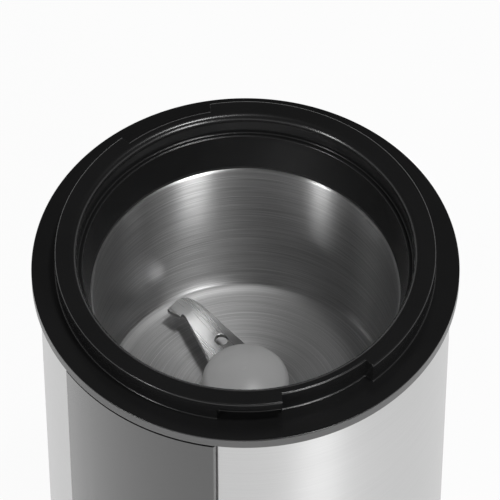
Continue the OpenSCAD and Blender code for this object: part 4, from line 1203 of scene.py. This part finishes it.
@dataclass
class DriveTrain(SubAssembly):
    """The motor: stator, brush gear and rotor."""

    def finishes(self) -> Worn:
        """Castings, laminations, copper, brass, bronze and carbon."""
        brackets = ["motor_upper_bracket", "motor_lower_bracket"]
        bushes = ["hub_bush", "upper_bearing", "lower_bearing"]
        turned = ["motor_shaft", "thrust_washers", "blade_spacer", "blade_nut"]
        cores = ["stator_core", "armature_core"]
        windings = ["field_coils", "armature_windings"]
        return [
            (Worked("cast_alloy", (0.45, 0.45, 0.46), 0.5, 0.15, 1.5, 0.02), brackets),
            (Layered("stacked_sheets", (0.22, 0.23, 0.25), 0.45, 0.9, 0.5, 0.05), cores),
            (Layered("enamelled_wire", (0.42, 0.13, 0.03), 0.3, 0.6, 0.6, 0.12), windings),
            (Worked("commutator_copper", (0.72, 0.32, 0.16), 0.3, 0.12, 1.0), ["commutator"]),
            (Worked("holder_brass", (0.7, 0.5, 0.2), 0.32, 0.1, 1.5), ["brush_holders"]),
            (Worked("sintered_bronze", (0.45, 0.3, 0.14), 0.55, 0.2, 0.5, 0.02), bushes),
            (Moulded("brush_carbon", grey(0.03), 0.6, 0.2, 0.01, 0.2), ["carbon_brushes"]),
            (Worked("turned_steel", (0.55, 0.55, 0.56), 0.25, 0.08, 1.0), turned),
            (Moulded("fan_moulding", (0.55, 0.55, 0.5), 0.5, 0.05, 0.01, 0.5), ["cooling_fan"]),
        ]


# ---- Studio -----------------------------------------------------------------------------------


@dataclass(frozen=True)
class SoftBox:
    """A square lamp that looks at the collar.

    Attributes:
        name: Name of the lamp.
        azimuth: Direction from the collar, in degrees from the camera's right, counter-clockwise.
        elevation: Height above the horizon, in degrees.
        distance: Distance from the collar, in metres.
        width: Width in metres.
        height: Height in metres.
        power: Power in watts.
    """

    name: str
    azimuth: float
    elevation: float
    distance: float
    width: float
    height: float
    power: float

    def build(self, target: Vector, turn: float) -> None:
        """Makes the lamp.

        Args:
            target: The point that it looks at.
            turn: Angle from the camera's frame to the part's, in degrees.
        """
        data = bpy.data.lights.new(self.name, "AREA")
        data.shape = "RECTANGLE"
        data.size, data.size_y = self.width, self.height
        data.energy = self.power
        lamp = bpy.data.objects.new(self.name, data)
        bpy.context.scene.collection.objects.link(lamp)
        a, e = math.radians(self.azimuth + turn), math.radians(self.elevation)
        away = Vector((math.cos(e) * math.cos(a), math.cos(e) * math.sin(a), math.sin(e)))
        lamp.location = target + away * self.distance
        lamp.rotation_euler = (-away).to_track_quat("-Z", "Y").to_euler()
        LOG.info("lamp %s: %.1f W", self.name, self.power)


@dataclass
class Studio:
    """Camera, floor, lamps and surroundings.

    Attributes:
        turn: Angle from the camera's frame to the part's, in degrees.
        pitch: How far the camera looks down, in degrees.
        distance: Distance from the camera to the flange's middle along its line of sight, in metres.
        focal: Focal length in pixels.
        frame_px: Width and height of the picture in pixels.
        aim: Pixel that the flange's middle falls on.
        flange_z: Level of the flange, in metres.
        floor_white: Share of plain white in the floor, as the camera and the metal see it.
        room: Strength of the even grey light from all round.
        horizon: Heights on the unit sphere at which the white horizon starts to fade and is gone.
        boxes: The lamps.
    """

    turn: float = 32.3
    pitch: float = 52.93
    distance: float = 1.3361
    focal: float = 5300.0
    frame_px: float = 500.0
    aim: tuple[float, float] = (245.45, 265.1)
    flange_z: float = 0.160
    floor_white: float = 0.95
    room: float = 0.09
    horizon: tuple[float, float] = (0.25, 0.4)
    boxes: tuple[SoftBox, ...] = (
        SoftBox("key_right", 303.0, 20.0, 0.9, 0.26, 0.28, 4.1),
        SoftBox("key_left", 221.0, 20.0, 0.9, 0.13, 0.28, 2.7),
        SoftBox("top", 348.0, 77.0, 1.2, 0.16, 0.16, 4.9),
    )

    def camera(self) -> None:
        """Makes the camera. The flange's middle lands on the aimed pixel without any shift."""
        pitch = math.radians(self.pitch)
        right = Vector((1.0, 0.0, 0.0))
        ahead = Vector((0.0, math.cos(pitch), -math.sin(pitch)))
        up = Vector((0.0, math.sin(pitch), math.cos(pitch)))
        half = self.frame_px / 2
        off_x = (self.aim[0] - half) / self.focal * self.distance
        off_y = (half - self.aim[1]) / self.focal * self.distance
        spot = -(right * off_x + up * off_y + ahead * self.distance)
        turn = Matrix.Rotation(math.radians(self.turn), 4, "Z")
        data = bpy.data.cameras.new("camera")
        data.sensor_width = 36.0
        data.lens = self.focal * data.sensor_width / self.frame_px
        data.clip_start, data.clip_end = 0.05, 50.0
        camera = bpy.data.objects.new("camera", data)
        bpy.context.scene.collection.objects.link(camera)
        axes = Matrix((right, up, -ahead)).transposed().to_4x4()
        lift = Matrix.Translation((0.0, 0.0, self.flange_z))
        camera.matrix_world = lift @ turn @ Matrix.Translation(spot) @ axes
        bpy.context.scene.camera = camera

    def floor(self) -> None:
        """Makes a wide pale floor that takes the part's shadow."""
        reach = np.array([0.01, 200.0, 500.0, 1200.0, 6000.0])
        outline = np.stack([reach, np.zeros(len(reach))], axis=-1)
        skin = Skin(revolved(outline, np.arange(0.0, 360.0, 5.0)), wrap_v=False)
        floor = joined("floor", [skin])
        made = NodeTree(bpy.data.materials.new("floor_white"))
        grain = made.noise(made.object_place(), scale=40.0)
        colour = made.ramp(grain, [(0.3, grey(0.83)), (0.7, grey(0.86))])
        shader = made.add("BsdfPrincipled", {"Base Color": colour, "Roughness": 0.8})
        white = made.add("Emission", {"Color": (1.0, 1.0, 1.0, 1.0), "Strength": 1.0})
        share = made.math("MULTIPLY", made.shown(), self.floor_white)
        mix = made.add("MixShader", {0: share, 1: shader.outputs[0], 2: white.outputs[0]})
        paint(floor, made.finish(mix))

    def surroundings(self) -> None:
        """Gives the world an even grey, and a white horizon for the camera, metal and glass."""
        made = NodeTree(bpy.data.worlds.new("surroundings"), "World")
        bpy.context.scene.world = made.owner
        split = made.add("SeparateXYZ", {0: made.add("TexCoord").outputs["Generated"]})
        full, gone = self.horizon
        limits = {"From Min": full, "From Max": gone, "To Min": 1.0, "To Max": 0.0}
        low = made.add("MapRange", {"Value": split.outputs["Z"], **limits}).outputs["Result"]
        share = made.math("MULTIPLY", made.shown(), low)
        room = made.add("Background", {"Color": (0.9, 0.9, 0.9, 1.0), "Strength": self.room})
        white = made.add("Background", {"Color": (1.0, 1.0, 1.0, 1.0), "Strength": 1.0})
        made.finish(made.add("MixShader", {0: share, 1: room.outputs[0], 2: white.outputs[0]}))

    def build(self) -> None:
        """Makes everything that isn't the part."""
        self.camera()
        self.floor()
        self.surroundings()
        for box in self.boxes:
            box.build(Vector((0.0, 0.0, self.flange_z)), self.turn)
        bpy.context.scene.view_settings.view_transform = "Standard"


def main() -> None:
    """Builds and dresses every sub-assembly, then the studio."""
    logging.basicConfig(level=logging.INFO, format="%(name)s: %(message)s")
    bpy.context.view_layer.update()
    for part in (Collar(), Bowl(), Housing(), Blade(), Base(), Controls(), DriveTrain()):
        part.build()
        part.dress()
        LOG.info("%s done", type(part).__name__)
    Studio().build()


if __name__ == "__main__":
    main()
